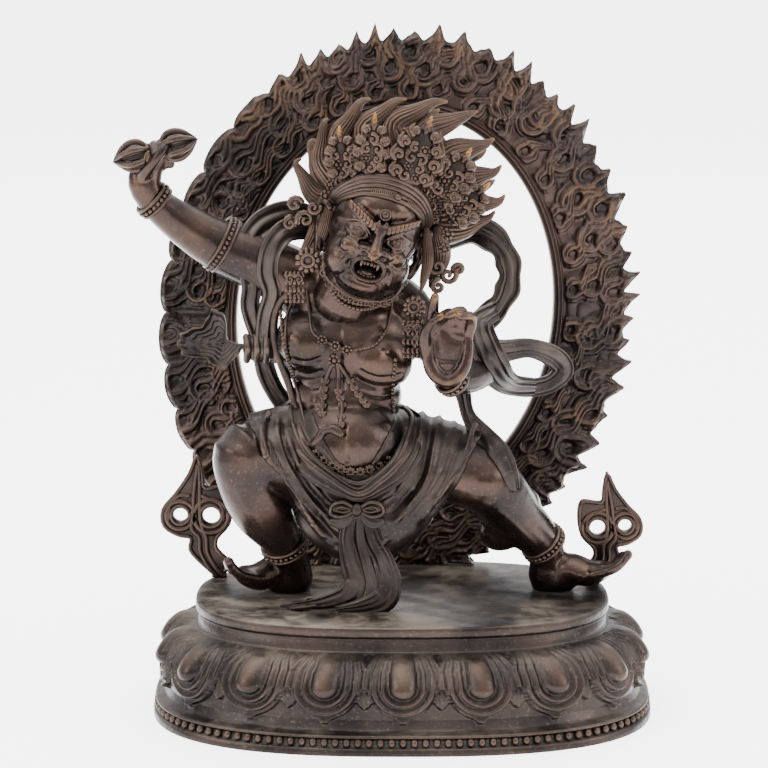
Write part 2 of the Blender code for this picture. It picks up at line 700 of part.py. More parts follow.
def box_object(name, centre, size, collection):
    bm = bmesh.new()
    bmesh.ops.create_cube(bm, size=1.0)
    bmesh.ops.scale(bm, vec=size, verts=bm.verts)
    bmesh.ops.translate(bm, vec=centre, verts=bm.verts)
    mesh = bpy.data.meshes.new(name)
    bm.to_mesh(mesh)
    bm.free()
    obj = bpy.data.objects.new(name, mesh)
    collection.objects.link(obj)
    obj.hide_render = True
    obj.display_type = "WIRE"
    return obj


def join_box(obj, centre, size):
    join_or_cut(obj, box_object("tang", centre, size, helpers), "UNION")


def cut_socket(obj, centre, size):
    join_or_cut(obj, box_object("socket", centre, size, helpers), "DIFFERENCE")


def join_or_cut(obj, other, operation):
    modifier = obj.modifiers.new(operation.title(), "BOOLEAN")
    modifier.operation = operation
    modifier.object = other


def cut_sockets(base):
    """Sockets in the plate for the aureole's two tangs."""
    deep = 2 * (TANG_DEPTH + SOCKET_CLEARANCE)
    for x in ring_tangs():
        width = RING_TANG_WIDTH + 2 * SOCKET_CLEARANCE
        thick = ring_tang_thickness() + 2 * SOCKET_CLEARANCE
        cut_socket(base, (x, tang_middle(), PLATE_HEIGHT), (width, thick, deep))


clear_scene()
castings = bpy.data.collections.new("wrathful_guardian")
helpers = bpy.data.collections.new("cutters")
for group in (castings, helpers):
    bpy.context.scene.collection.children.link(group)
bronze = make_material("dark_bronze", (0.070, 0.048, 0.040), 0.42)
lotus_base = make_lotus_base(castings, bronze)
cut_sockets(lotus_base)
make_figure(castings, bronze)
make_aureole(castings, bronze)
for sprig_side in (-1, 1):
    make_sprig(sprig_side, castings, bronze)
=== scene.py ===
import math

import bmesh
import bpy
import numpy as np
from mathutils import Matrix, Vector
from mathutils.bvhtree import BVHTree


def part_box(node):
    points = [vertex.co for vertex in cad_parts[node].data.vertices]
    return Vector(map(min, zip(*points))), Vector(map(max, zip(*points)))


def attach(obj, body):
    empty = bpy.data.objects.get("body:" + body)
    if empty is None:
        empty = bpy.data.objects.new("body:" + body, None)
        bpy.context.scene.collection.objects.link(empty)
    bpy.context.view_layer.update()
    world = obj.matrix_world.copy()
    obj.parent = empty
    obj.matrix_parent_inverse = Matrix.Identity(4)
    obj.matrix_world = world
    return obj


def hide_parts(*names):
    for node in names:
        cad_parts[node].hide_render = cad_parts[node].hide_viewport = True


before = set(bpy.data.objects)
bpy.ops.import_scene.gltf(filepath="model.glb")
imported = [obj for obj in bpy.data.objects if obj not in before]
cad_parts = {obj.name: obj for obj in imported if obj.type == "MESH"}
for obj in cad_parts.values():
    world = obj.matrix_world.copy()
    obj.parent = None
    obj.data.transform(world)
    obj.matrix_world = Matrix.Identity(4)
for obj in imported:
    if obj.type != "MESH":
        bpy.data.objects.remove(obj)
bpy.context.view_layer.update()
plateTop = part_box("lotus_base")[1][2]
mm = 0.001
bluntness = 0.8  # how far a swept end stands out, as a share of its thickness
print("frame loaded")


# shared shaping helpers, all in millimetres above the plate until a piece is finished
def smoothRows(rows, steps):
    rows = np.array(rows, float)
    padded = np.vstack([rows[:1], rows, rows[-1:]])
    share = np.linspace(0, 1, steps, endpoint=False)[:, None]
    spans = []
    for k in range(len(rows) - 1):
        a, b, c, d = padded[k : k + 4]
        cubic = 2 * a - 5 * b + 4 * c - d + share * (3 * b - a - 3 * c + d)
        spans.append(b + 0.5 * share * (c - a + share * cubic))
    return np.vstack([*spans, rows[-1:]])


def frames(centres, facing):
    along = np.gradient(centres, axis=0)
    along /= np.linalg.norm(along, axis=1)[:, None] + 1e-9
    facing = np.broadcast_to(np.array(facing, float), along.shape)
    front = facing - along * (along * facing).sum(1)[:, None]
    front /= np.linalg.norm(front, axis=1)[:, None] + 1e-9
    return along, np.cross(along, front), front


def rollGrid(bm, coords, worn=None):
    # a grid whose columns wrap round, so that it closes into a tube when its doubles are merged
    rows, columns = coords.shape[:2]
    rubbed = bm.verts.layers.float.get("worn") or bm.verts.layers.float.new("worn")
    made = bmesh.ops.create_grid(bm, x_segments=columns, y_segments=rows - 1, size=1.0)
    wrapped = np.concatenate([coords, coords[:, :1]], axis=1).reshape(-1, 3)
    for vert, place in zip(made["verts"], wrapped.tolist()):
        vert.co = place
    if worn is not None:
        amounts = np.broadcast_to(np.asarray(worn, float).reshape(rows, -1), (rows, columns))
        amounts = np.concatenate([amounts, amounts[:, :1]], axis=1).ravel()
        for vert, amount in zip(made["verts"], amounts.tolist()):
            vert[rubbed] = amount
    return made["verts"]


def sweep(
    bm, rows, facing=(0, -1, 0), steps=3, sides=10, folds=0, depth=0.0, rim=0.0, drift=0.5, gold=0.0
):
    # rows are x, y, z, half width and half thickness. Folds wave front and back alike, as in cloth.
    # gold is the share at its far end that is rubbed bright
    rows = [(*row, row[3]) if len(row) == 4 else row for row in rows]
    run = smoothRows(rows, steps)
    centres, wide, thick = run[:, :3], run[:, 3], run[:, 4]
    along, across, front = frames(centres, facing)
    ends = [(0.02, 1.0), (0.55, 0.83), (0.86, 0.5)]
    head = [(s, centres[0] - along[0] * r * bluntness * thick[0]) for s, r in ends]
    tail = [(s, centres[-1] + along[-1] * r * bluntness * thick[-1]) for s, r in reversed(ends)]
    scale = np.array([s for s, _ in head] + [1.0] * len(run) + [s for s, _ in tail])
    pick = np.array([0] * 3 + list(range(len(run))) + [len(run) - 1] * 3)
    middle = np.vstack([[c for _, c in head], centres, [c for _, c in tail]])
    turn = np.linspace(0, math.tau, sides, endpoint=False)
    side, lift = np.cos(turn), np.sin(turn)
    w, h = (wide[pick] * scale)[:, None], (thick[pick] * scale)[:, None]
    out = lift * h
    if folds:
        share = np.linspace(0, 1, len(pick))[:, None]
        flat = np.sign(side) * np.abs(side) ** 0.8
        sheet = np.sign(lift) * np.abs(lift) ** 0.6 * (1 + rim * np.exp(-(((1 - np.abs(flat)) / 0.16) ** 2)))
        crease = np.abs(np.cos(0.5 * math.pi * folds * flat + drift * 2 * share)) ** 0.7 * 2 - 1
        wave = 0.75 * crease + 0.25 * np.cos(math.pi * folds * 1.6 * flat + 1.1 - drift * 4 * share)
        out = sheet * h + depth * wave * scale[:, None]
        side = flat
    coords = middle[:, None] + across[pick][:, None] * (side * w)[..., None]
    coords = coords + front[pick][:, None] * out[..., None]
    worn = np.clip((np.linspace(0, 1, len(pick)) - 1 + gold) / gold, 0, 1) if gold else None
    return rollGrid(bm, coords, worn)


def blob(bm, centre, radii, tilt=0.0, detail=3):
    turn = Matrix.Rotation(math.radians(tilt), 4, "Y")
    size = Matrix.Diagonal((*radii, 1.0))
    place = Matrix.Translation(centre) @ turn @ size
    return bmesh.ops.create_icosphere(bm, subdivisions=detail, radius=1.0, matrix=place)["verts"]


def strands(bm, rows, count, facing=(0, -1, 0), steps=4, sides=6, twist=0.0, plump=1.5, gold=0.0):
    # a lock of parallel strands over a core. rows are x, y, z, half width and half depth
    run = smoothRows(rows, steps)
    inner = run * np.array([1, 1, 1, 0.88, 0.72])
    sweep(bm, inner[:: max(1, steps // 2)], facing, 1, 8)
    across, front = frames(run[:, :3], facing)[1:]
    share = np.linspace(0, 1, len(run))
    for k in range(count):
        turn = math.pi * (k + 0.5) / count + twist * share
        offset = across * (np.cos(turn) * run[:, 3])[:, None] + front * (np.sin(turn) * run[:, 4])[:, None]
        thick = plump * run[:, 3] / count
        sweep(bm, np.column_stack([run[:, :3] + offset, thick, thick]), facing, 1, sides, gold=gold)


def curl(bm, centre, radius, turns, start, thick, spin=1, facing=(0, -1, 0)):
    # a spiral in the picture plane that ends in its own middle
    share = np.linspace(0, 1, max(8, int(turns * 12)))
    turn = math.radians(start) + spin * share * turns * math.tau
    reach = radius * (1 - 0.86 * share)
    points = []
    for a, r, s in zip(turn, reach, share):
        width = thick * (1 - 0.35 * s)
        spot = (centre[0] + r * math.cos(a), centre[1] - s * thick * 0.6, centre[2] + r * math.sin(a))
        points.append((*spot, width))
    sweep(bm, points, facing, 1, 6)


def bead(bm, centre, radius, detail=2):
    bmesh.ops.create_icosphere(
        bm, subdivisions=detail, radius=radius, matrix=Matrix.Translation(centre)
    )


def beadRow(bm, points, spacing, radius, detail=2):
    run = smoothRows(points, 8)
    length = np.concatenate([[0], np.cumsum(np.linalg.norm(np.diff(run, axis=0), axis=1))])
    count = max(2, round(length[-1] / spacing))
    for k in range(count + 1):
        at = [np.interp(length[-1] * k / count, length, run[:, i]) for i in range(3)]
        bead(bm, at, radius, detail)


def ringPoints(radius, count, first=0.0, last=math.tau):
    return [(radius * math.cos(a), radius * math.sin(a)) for a in np.linspace(first, last, count)]


def rosette(bm, centre, radius, petals, hole=0.0):
    x, y, z = centre
    for k in range(petals):
        turn = math.tau * k / petals
        spot = (x + radius * 0.72 * math.cos(turn), y, z + radius * 0.72 * math.sin(turn))
        blob(bm, spot, (radius * 0.3, radius * 0.3, radius * 2.5 / petals), -math.degrees(turn), 2)
    if hole:
        ring = [(x + p, y - radius * 0.2, z + q, radius * 0.16) for p, q in ringPoints(hole, 17)]
        sweep(bm, ring, (0, -1, 0), 1, 6)
    else:
        bead(bm, (x, y - radius * 0.15, z), radius * 0.4)


def finishPiece(bm, name, nodes=(), merge=1e-6):
    # to metres above the plate, closed, outwards, and riding the part's one body
    bmesh.ops.scale(bm, vec=(mm, mm, mm), verts=bm.verts)
    bmesh.ops.translate(bm, vec=(0, 0, plateTop), verts=bm.verts)
    bmesh.ops.remove_doubles(bm, verts=bm.verts, dist=merge)
    bmesh.ops.dissolve_degenerate(bm, edges=bm.edges, dist=1e-7)
    bmesh.ops.recalc_face_normals(bm, faces=bm.faces)
    mesh = bpy.data.meshes.new(name)
    bm.to_mesh(mesh)
    bm.free()
    return placePiece(mesh, name, nodes)


def placePiece(mesh, name, nodes):
    mesh.shade_smooth()
    piece = bpy.data.objects.new(name, mesh)
    bpy.context.scene.collection.objects.link(piece)
    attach(piece, "root")
    if nodes:
        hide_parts(*nodes)
    triangles = sum(len(p.vertices) - 2 for p in mesh.polygons)
    print(name, "has", triangles, "triangles")
    return piece


def fuse(bm, name, voxel, soften):
    # one skin over all the shapes in the bmesh
    bmesh.ops.scale(bm, vec=(mm, mm, mm), verts=bm.verts)
    bmesh.ops.translate(bm, vec=(0, 0, plateTop), verts=bm.verts)
    bmesh.ops.remove_doubles(bm, verts=bm.verts, dist=1e-6)
    bmesh.ops.recalc_face_normals(bm, faces=bm.faces)
    mesh = bpy.data.meshes.new(name + "Rough")
    bm.to_mesh(mesh)
    bm.free()
    rough = bpy.data.objects.new(name + "Rough", mesh)
    bpy.context.scene.collection.objects.link(rough)
    skin = rough.modifiers.new("skin", "REMESH")
    skin.mode = "VOXEL"
    skin.voxel_size = voxel * mm
    if soften:
        smooth = rough.modifiers.new("soften", "SMOOTH")
        smooth.factor = 0.5
        smooth.iterations = soften
    graph = bpy.context.evaluated_depsgraph_get()
    fused = bpy.data.meshes.new_from_object(rough.evaluated_get(graph), depsgraph=graph)
    bpy.data.objects.remove(rough)
    bpy.data.meshes.remove(mesh)
    return fused


def readMesh(mesh):
    places = np.empty(len(mesh.vertices) * 3)
    normals = np.empty(len(mesh.vertices) * 3)
    mesh.vertices.foreach_get("co", places)
    mesh.vertex_normals.foreach_get("vector", normals)
    places = places.reshape(-1, 3) / mm
    places[:, 2] -= plateTop / mm
    return places, normals.reshape(-1, 3)


def writeMesh(mesh, places):
    places = places.copy()
    places[:, 2] += plateTop / mm
    mesh.vertices.foreach_set("co", (places * mm).ravel())
    mesh.update()


def lineDistance(places, line):
    # distance in the picture plane from each point to a drawn line, and how far along it
    line = smoothRows(line, 5)
    best = np.full(len(places), 1e9)
    share = np.zeros(len(places))
    flat = places[:, [0, 2]]
    for k, (a, b) in enumerate(zip(line, line[1:])):
        step = b - a
        t = np.clip(((flat - a) @ step) / (step @ step + 1e-9), 0, 1)
        gap = np.linalg.norm(flat - a - t[:, None] * step, axis=1)
        near = gap < best
        best[near] = gap[near]
        share[near] = (k + t[near]) / (len(line) - 1)
    return best, share


def carve(mesh, lines, facing=0.15):
    # each line is (points, half width, height). A negative height is a groove.
    # Only what faces the viewer is cut
    places, normals = readMesh(mesh)
    ahead = np.clip((-normals[:, 1] - facing + 0.25) / 0.25, 0, 1)
    for points, width, height, *depth in lines:
        gap, share = lineDistance(places, points)
        near = ahead * (places[:, 1] < depth[0] if depth else True)
        taper = np.clip(np.minimum(share, 1 - share) * 8, 0, 1)
        places += normals * (near * taper * height * np.exp(-((gap / width) ** 2)))[:, None]
    writeMesh(mesh, places)


def rubAndHighlight(mesh, spots):
    # spots are x, y, z, reach and amount: places that hands have rubbed bright, and painted highlights on the
    # skin
    places = readMesh(mesh)[0]
    worn = np.zeros(len(places), np.float32)
    for x, y, z, reach, amount in spots:
        gap = np.linalg.norm(places - (x, y, z), axis=1)
        worn = np.maximum(worn, amount * np.exp(-((gap / reach) ** 2)))
    mesh.attributes.new("worn", "FLOAT", "POINT").data.foreach_set("value", worn.astype(np.float32))


# bronze finishes
def buildPatina():
    group = bpy.data.node_groups.new("bronzePatina", "ShaderNodeTree")
    face = group.interface
    for name, kind, value in (
        ("deepColour", "NodeSocketColor", (0.0085, 0.006, 0.0055, 1)),
        ("bodyColour", "NodeSocketColor", (0.036, 0.0215, 0.017, 1)),
        ("edgeColour", "NodeSocketColor", (0.115, 0.066, 0.044, 1)),
        ("rubbedAndHighlightColour", "NodeSocketColor", (0.36, 0.155, 0.030, 1)),
        ("dustColour", "NodeSocketColor", (0.115, 0.097, 0.080, 1)),
        ("greenColour", "NodeSocketColor", (0.20, 0.26, 0.20, 1)),
        ("wear", "NodeSocketFloat", 0.5),
        ("dust", "NodeSocketFloat", 0.4),
        ("green", "NodeSocketFloat", 0.0),
        ("gloss", "NodeSocketFloat", 0.36),
    ):
        socket = face.new_socket(name=name, in_out="INPUT", socket_type=kind)
        socket.default_value = value
    for name, kind in (
        ("colour", "NodeSocketColor"), ("roughness", "NodeSocketFloat"), ("metal", "NodeSocketFloat"),
        ("height", "NodeSocketFloat")
    ):
        face.new_socket(name=name, in_out="OUTPUT", socket_type=kind)
    nodes, links = group.nodes, group.links
    source = nodes.new("NodeGroupInput")
    result = nodes.new("NodeGroupOutput")
    coords = nodes.new("ShaderNodeTexCoord")

    def noise(scale, detail, rough=0.55):
        node = nodes.new("ShaderNodeTexNoise")
        node.inputs["Scale"].default_value = scale
        node.inputs["Detail"].default_value = detail
        node.inputs["Roughness"].default_value = rough
        links.new(coords.outputs["Object"], node.inputs["Vector"])
        return node.outputs["Fac"]

    def remap(value, low, high, outLow=0.0, outHigh=1.0):
        node = nodes.new("ShaderNodeMapRange")
        node.interpolation_type = "SMOOTHSTEP"
        links.new(value, node.inputs["Value"])
        for k, amount in zip(
            ("From Min", "From Max", "To Min", "To Max"), (low, high, outLow, outHigh)
        ):
            node.inputs[k].default_value = amount
        return node.outputs["Result"]

    def calc(kind, first, second, clamp=False):
        node = nodes.new("ShaderNodeMath")
        node.operation = kind
        node.use_clamp = clamp
        for k, value in enumerate((first, second)):
            if isinstance(value, (int, float)):
                node.inputs[k].default_value = value
            else:
                links.new(value, node.inputs[k])
        return node.outputs[0]

    def blend(amount, first, second):
        node = nodes.new("ShaderNodeMix")
        node.data_type = "RGBA"
        links.new(amount, node.inputs["Factor"])
        links.new(first, node.inputs["A"])
        links.new(second, node.inputs["B"])
        return node.outputs["Result"]

    shape = nodes.new("ShaderNodeNewGeometry")
    cavity = nodes.new("ShaderNodeAmbientOcclusion")
    cavity.samples = 8
    cavity.inputs["Distance"].default_value = 0.006
    normal = nodes.new("ShaderNodeSeparateXYZ")
    links.new(shape.outputs["Normal"], normal.inputs[0])
    broad, middle, fine = noise(28, 5), noise(120, 6, 0.6), noise(900, 4, 0.6)
    speck = remap(noise(640, 4, 0.7), 0.56, 0.72)
    edge = remap(shape.outputs["Pointiness"], 0.52, 0.66)
    hollow = remap(shape.outputs["Pointiness"], 0.48, 0.40)
    shut = remap(cavity.outputs["AO"], 0.75, 0.25)
    upward = remap(normal.outputs["Z"], 0.35, 0.95)
    patchy = remap(middle, 0.35, 0.68)

    tone = blend(remap(broad, 0.32, 0.66), source.outputs["deepColour"], source.outputs["bodyColour"])
    tone = blend(calc("MULTIPLY", speck, 0.3), tone, source.outputs["dustColour"])
    tone = blend(
        calc("MULTIPLY", calc("MAXIMUM", shut, calc("MULTIPLY", hollow, 0.8)), 0.8), tone,
        source.outputs["deepColour"]
    )
    worn = calc("MULTIPLY", edge, remap(middle, 0.25, 0.6, 0.35, 1.0))
    worn = calc("MULTIPLY", worn, source.outputs["wear"], True)
    tone = blend(worn, tone, source.outputs["edgeColour"])
    # the worn attribute: tips, bosses and crests rubbed bright, and on the skin also painted highlights
    tips = nodes.new("ShaderNodeAttribute")
    tips.attribute_name = "worn"
    bright = calc("POWER", tips.outputs["Fac"], 1.5)
    bright = calc("MULTIPLY", bright, remap(middle, 0.3, 0.6, 0.45, 1.0), True)
    place = nodes.new("ShaderNodeSeparateXYZ")
    links.new(coords.outputs["Object"], place.inputs[0])
    # how far faces point up, times a factor that grows towards the left (negative x): the pale tint, with its
    # rough, dull finish, is twice as strong at the left as at the right
    upFacingTowardsLeft = calc(
        "MULTIPLY", remap(normal.outputs["Z"], -0.1, 0.7),
        remap(place.outputs["X"], 0.05, -0.08, 0.6, 1.2)
    )
    settled = calc("MULTIPLY", calc("MULTIPLY", calc("MAXIMUM", hollow, shut), upFacingTowardsLeft), 0.9)
    settled = calc(
        "MAXIMUM", settled,
        calc(
            "MULTIPLY", calc("MULTIPLY", calc("MULTIPLY", upward, upFacingTowardsLeft), remap(broad, 0.36, 0.62)), 0.8
        )
    )
    settled = calc("MULTIPLY", settled, remap(place.outputs["Z"], 0.046, 0.054, 0.4, 1.0))
    settled = calc(
        "MULTIPLY", calc("MULTIPLY", settled, remap(middle, 0.28, 0.62, 0.3, 1.0)),
        source.outputs["dust"], True
    )
    tone = blend(settled, tone, source.outputs["dustColour"])
    spots = calc("MULTIPLY", remap(noise(60, 6, 0.62), 0.66, 0.72), calc("MAXIMUM", shut, hollow))
    spots = calc("MULTIPLY", spots, source.outputs["green"], True)
    tone = blend(spots, tone, source.outputs["greenColour"])
    tone = blend(bright, tone, source.outputs["rubbedAndHighlightColour"])
    links.new(tone, result.inputs["colour"])
    rough = calc("ADD", source.outputs["gloss"], remap(middle, 0.3, 0.7, -0.05, 0.10))
    rough = calc("ADD", rough, calc("MULTIPLY", calc("MAXIMUM", settled, spots), 0.45))
    rough = calc("ADD", rough, calc("MULTIPLY", upward, 0.12))
    links.new(calc("SUBTRACT", rough, calc("MULTIPLY", worn, 0.08), True), result.inputs["roughness"])
    metal = calc("SUBTRACT", 0.88, calc("MULTIPLY", calc("MAXIMUM", settled, spots), 0.75), True)
    links.new(metal, result.inputs["metal"])
    links.new(
        calc("ADD", calc("MULTIPLY", fine, 0.5), calc("MULTIPLY", patchy, 0.5)), result.inputs["height"]
    )
    return group


patina = buildPatina()


def bronze(name, values, grain=0.12, grainDepth=0.0006):
    material = bpy.data.materials.new(name)
    material.use_nodes = True
    nodes, links = material.node_tree.nodes, material.node_tree.links
    shader = nodes["Principled BSDF"]
    group = nodes.new("ShaderNodeGroup")
    group.node_tree = patina
    for key, value in values.items():
        group.inputs[key].default_value = value
    bump = nodes.new("ShaderNodeBump")
    bump.inputs["Strength"].default_value = grain
    bump.inputs["Distance"].default_value = grainDepth
    links.new(group.outputs["colour"], shader.inputs["Base Color"])
    links.new(group.outputs["roughness"], shader.inputs["Roughness"])
    links.new(group.outputs["metal"], shader.inputs["Metallic"])
    links.new(group.outputs["height"], bump.inputs["Height"])
    links.new(bump.outputs["Normal"], shader.inputs["Normal"])
    shader.inputs["Specular IOR Level"].default_value = 0.35
    shader.inputs["Coat Weight"].default_value = 0.1
    shader.inputs["Coat Roughness"].default_value = 0.22
    return material


finishes = {
    "base": bronze("lotusBronze", {
        "wear": 0.5, "dust": 0.9, "green": 0.3, "gloss": 0.36, "bodyColour": (0.030, 0.0205, 0.0165, 1),
        "rubbedAndHighlightColour": (0.068, 0.033, 0.017, 1), "dustColour": (0.165, 0.136, 0.104, 1),
    }, 0.3, 0.001),
    "skin": bronze("skinBronze", {
        "wear": 0.4, "dust": 0.15, "gloss": 0.25, "bodyColour": (0.036, 0.0205, 0.0155, 1),
        # on the skin the rubbed colour also paints highlights on the knees, shins, belly and face
        "rubbedAndHighlightColour": (0.150, 0.075, 0.030, 1),
    }),
    "cloth": bronze(
        "clothBronze",
        {
            "wear": 0.75, "dust": 0.4, "green": 0.6, "gloss": 0.38,
            "bodyColour": (0.023, 0.0155, 0.0125, 1)
        }
    ),
    "ornament": bronze(
        "ornamentBronze",
        {"wear": 0.65, "dust": 0.4, "gloss": 0.36, "bodyColour": (0.036, 0.022, 0.0165, 1)}
    ),
    "hair": bronze(
        "hairBronze", {"wear": 0.65, "dust": 0.4, "gloss": 0.38, "bodyColour": (0.032, 0.020, 0.015, 1)}
    ),
    "flame": bronze("flameBronze", {
        "wear": 0.85, "dust": 0.3, "green": 0.15, "gloss": 0.38, "edgeColour": (0.095, 0.055, 0.037, 1),
        "rubbedAndHighlightColour": (0.080, 0.043, 0.022, 1),
    }),
    "scarf": bronze(
        "scarfBronze",
        {"wear": 0.75, "dust": 0.7, "green": 0.4, "gloss": 0.4, "bodyColour": (0.042, 0.031, 0.026, 1)}
    ),
}
print("finishes made")


# lotus base
lotusBase = {
    "halfLength": 119.0, "halfDepth": 84.0, "roundness": 2.6, "petals": 18, "columnsPerPetal": 45,
    "pitch": 35.5,
    "bossHalfWidth": 6.2, "bossHeight": 5.4, "bossEnd": 18.5, "petalReach": 9.8,
    "ridgePitch": 4.0, "ridgeHeight": 2.5, "plateInset": 22.2, "plateReach": 61.5, "beadInset": 2.1,
    "beadCentre": 5.75,
    "beads": 128, "beadRadius": 1.9,
}


def ovalColumns(count, look):
    angle = np.linspace(-math.pi / 2, 1.5 * math.pi, 8001)
    power = 2 / look["roundness"]
    x = np.sign(np.cos(angle)) * np.abs(np.cos(angle)) ** power
    y = np.sign(np.sin(angle)) * np.abs(np.sin(angle)) ** power
    run = np.hypot(np.diff(x * look["halfLength"]), np.diff(y * look["halfDepth"]))
    run = np.concatenate([[0], np.cumsum(run)])
    even = np.interp(np.linspace(0, run[-1], count, endpoint=False), run, angle)
    x = np.sign(np.cos(even)) * np.abs(np.cos(even)) ** power
    y = np.sign(np.sin(even)) * np.abs(np.sin(even)) ** power
    return x, y


def petalRelief(s, w, look):
    # s runs across a petal from its middle and w down from the neck.
    # It gives the height, the petal and its boss
    half = look["bossHalfWidth"]
    below = np.clip(w - look["bossEnd"], 0, None)
    wide = half * np.clip(0.80 + 0.02 * w, 0, 1.04)
    gap = np.hypot(s * half / wide, below) - half
    boss = np.sqrt(np.clip(1 - ((gap + half) / half) ** 2, 0, 1)) * np.clip(0.5 + w / 7.0, 0, 1)
    point = 2.8 * np.exp(-((s / 2.2) ** 2)) * (below > 3)
    reach = look["petalReach"] + point - 1.2 * np.clip(
        np.abs(s) / 17.0, 0, 1
    ) ** 3 + 4 * np.clip((23 - w) / 6, 0, 1)
    main = np.clip((reach - gap) / 0.35, 0, 1)
    pitch = look["ridgePitch"]
    shell = (np.clip(gap, 0, None) / pitch) % 1
    ridges = look["ridgeHeight"] * np.interp(
        shell, [0, 0.12, 0.4, 0.66, 0.8, 0.9, 1], [0, 0.12, 0.42, 0.9, 1, 0.72, 0]
    )
    slope = -0.05 * np.clip(gap, 0, None)
    return (look["bossHeight"] * boss + ridges + slope) * main, main, boss * main


def makeLotusBase(look):
    perPetal, petals = look["columnsPerPetal"], look["petals"]
    count = perPetal * petals
    across, deep = ovalColumns(count, look)
    half = look["pitch"] / 2
    s = ((np.arange(count) / perPetal + 0.5) % 1 - 0.5)[None, :] * look["pitch"]
    between = half - np.abs(s)
    curve = smoothRows(
        [(5.2, 14.6), (5.0, 20.0), (5.2, 26.5), (6.9, 32), (10.3, 37), (14.9, 40.9), (20.2, 42.8)], 10
    )
    arc = np.concatenate([[0], np.cumsum(np.linalg.norm(np.diff(curve, axis=0), axis=1))])
    foot = [
        (0.0, 0.0), (0.0, 0.4), (0.0, 3.0), (0.6, 3.5), (2.6, 3.9), (2.8, 7.9), (1.0, 8.2), (0.9, 8.9)
    ]
    foot += [(2.4, 9.5), (4.6, 10.2), (6.0, 11.5), (6.4, 13.6)]
    steps = 72
    at = np.linspace(0, arc[-1], steps)
    rows = [(a, z, 99.0, a) for a, z in foot]
    for run in at:
        inset, z = np.interp(run, arc, curve[:, 0]), np.interp(run, arc, curve[:, 1])
        rows.append((inset, z, arc[-1] - run, np.interp(z, [14.6, 27, 38, 42.4], [7.4, 8.6, 13.5, 21])))
    plateInset, plateReach = look["plateInset"], look["plateReach"]
    neck = [
        (21.4, 43.0), (21.7, 44.0), (21.7, 47.8), (22.6, 48.6), (22.4, 49.3), (20.9, 49.9),
        (20.5, 50.8), (20.5, 54.0), (21.0, 54.8), (plateInset, 55.0)
    ]
    neck += [(plateInset + plateReach * t, 55.0) for t in np.linspace(0.03, 1, 14) ** 1.15]
    rows += [(a, z, -9.0, a) for a, z in neck]
    inset, height, depth, wall = (np.array(v)[:, None] for v in zip(*rows))
    relief, main, boss = petalRelief(s, depth, look)
    onPetal = (depth < 90) & (depth > -1)
    spearEnd = 30.5 - 5.5 * (between / 5.5).clip(0, 2) ** 1.3
    second = np.clip((spearEnd - depth) / 0.6, 0, 1) * (between < 9) * (depth > 17) * (1 - main)
    lines = 0.55 * np.abs(np.cos(math.pi * between / 2.1)) + 0.9 * np.exp(-((between / 1.3) ** 2))
    out = wall * (1 - main) * (1 - second) + (inset + 1.7 - lines) * second + (inset - relief) * main
    fade = np.clip((depth - 0.2) / 1.6, 0, 1)
    out = np.where(onPetal, out * fade + (inset - 0.3 * relief) * (1 - fade), inset)
    out = np.maximum(out, -0.9)
    x = across[None, :] * (look["halfLength"] - out)
    y = deep[None, :] * (look["halfDepth"] - np.minimum(out, look["halfDepth"] - 0.01))
    top = (inset > 23) & (height > 54)
    shrink = np.clip((inset - plateInset) / plateReach, 0, 1)
    x = np.where(top, across[None, :] * (look["halfLength"] - plateInset) * (1 - shrink), x)
    y = np.where(top, deep[None, :] * (look["halfDepth"] - plateInset) * (1 - shrink), y)
    z = np.broadcast_to(height, x.shape).copy()
    ground = 0.9 * np.sin(x / 7.3 + 1.3 * np.sin(y / 9)) * np.cos(y / 5.1 + 0.9 * np.sin(x / 13))
    ground = ground + 0.25 * np.sin(x / 3.1 + y / 2.7)
    streak = np.exp(-(((y + 30 + 5 * np.sin(x / 23)) / 8) ** 2)) * np.exp(-(((x - 18) / 52) ** 2))
    wavy = 0.8 * np.sin(y * 0.8 + 1.8 * np.sin(x / 11)) - 0.3
    z += np.where(top, (ground * 0.45 - 0.35 + streak * wavy) * np.clip((inset - 25) / 5, 0, 1), 0)
    bm = bmesh.new()
    rollGrid(bm, np.stack([x, y, z - plateTop / mm], axis=-1), np.where(onPetal, 0.5 * boss**5, 0))
    bmesh.ops.remove_doubles(bm, verts=bm.verts, dist=1e-4)
    edges = [e for e in bm.edges if e.is_boundary]
    bmesh.ops.holes_fill(bm, edges=edges, sides=0)
    return finishPiece(bm, "lotusBase", ("lotus_base",))


def makeBaseBeads(look):
    across, deep = ovalColumns(look["beads"], look)
    bm = bmesh.new()
    inset = look["beadInset"]
    for x, y in zip(across, deep):
        place = (
            x * (look["halfLength"] - inset), y * (look["halfDepth"] - inset),
            look["beadCentre"] - plateTop / mm
        )
        made = bmesh.ops.create_uvsphere(bm, u_segments=9, v_segments=6, radius=look["beadRadius"])
        bmesh.ops.scale(bm, vec=(1, 1, 1.12), verts=made["verts"])
        bmesh.ops.translate(bm, vec=place, verts=made["verts"])
    return finishPiece(bm, "baseBeads", ())


base = makeLotusBase(lotusBase)
beads = makeBaseBeads(lotusBase)
for piece in (base, beads):
    piece.data.materials.append(finishes["base"])
print("lotus base made")


# flame aureole: one grid round the ring, whose front is carved by a height for every point
aureole = {
    "centreX": -3.3, "centreZ": 126.5, "halfWidth": 77.0, "halfHeight": 98.0, "band": 37.0,
    "lean": 0.05,
    "front": 55.6, "back": 60.0, "columns": 960, "rows": 84, "thornHeight": 9.6, "lobeHeight": 4.2,
    # the three rows of flames from the inside out: place across, count and size
    "flameRows": ((0.28, 34, 5.2), (0.54, 32, 6.8), (0.86, 38, 7.2)),
    "pitDepth": 3.75, "ridgeHeight": 1.9, "domeHeight": 1.9, "spiralPitch": 0.54,
}


def jitter(seed):
    return math.sin(seed * 12.9898 + 4.1) * 43758.5453 % 1.0 - 0.5


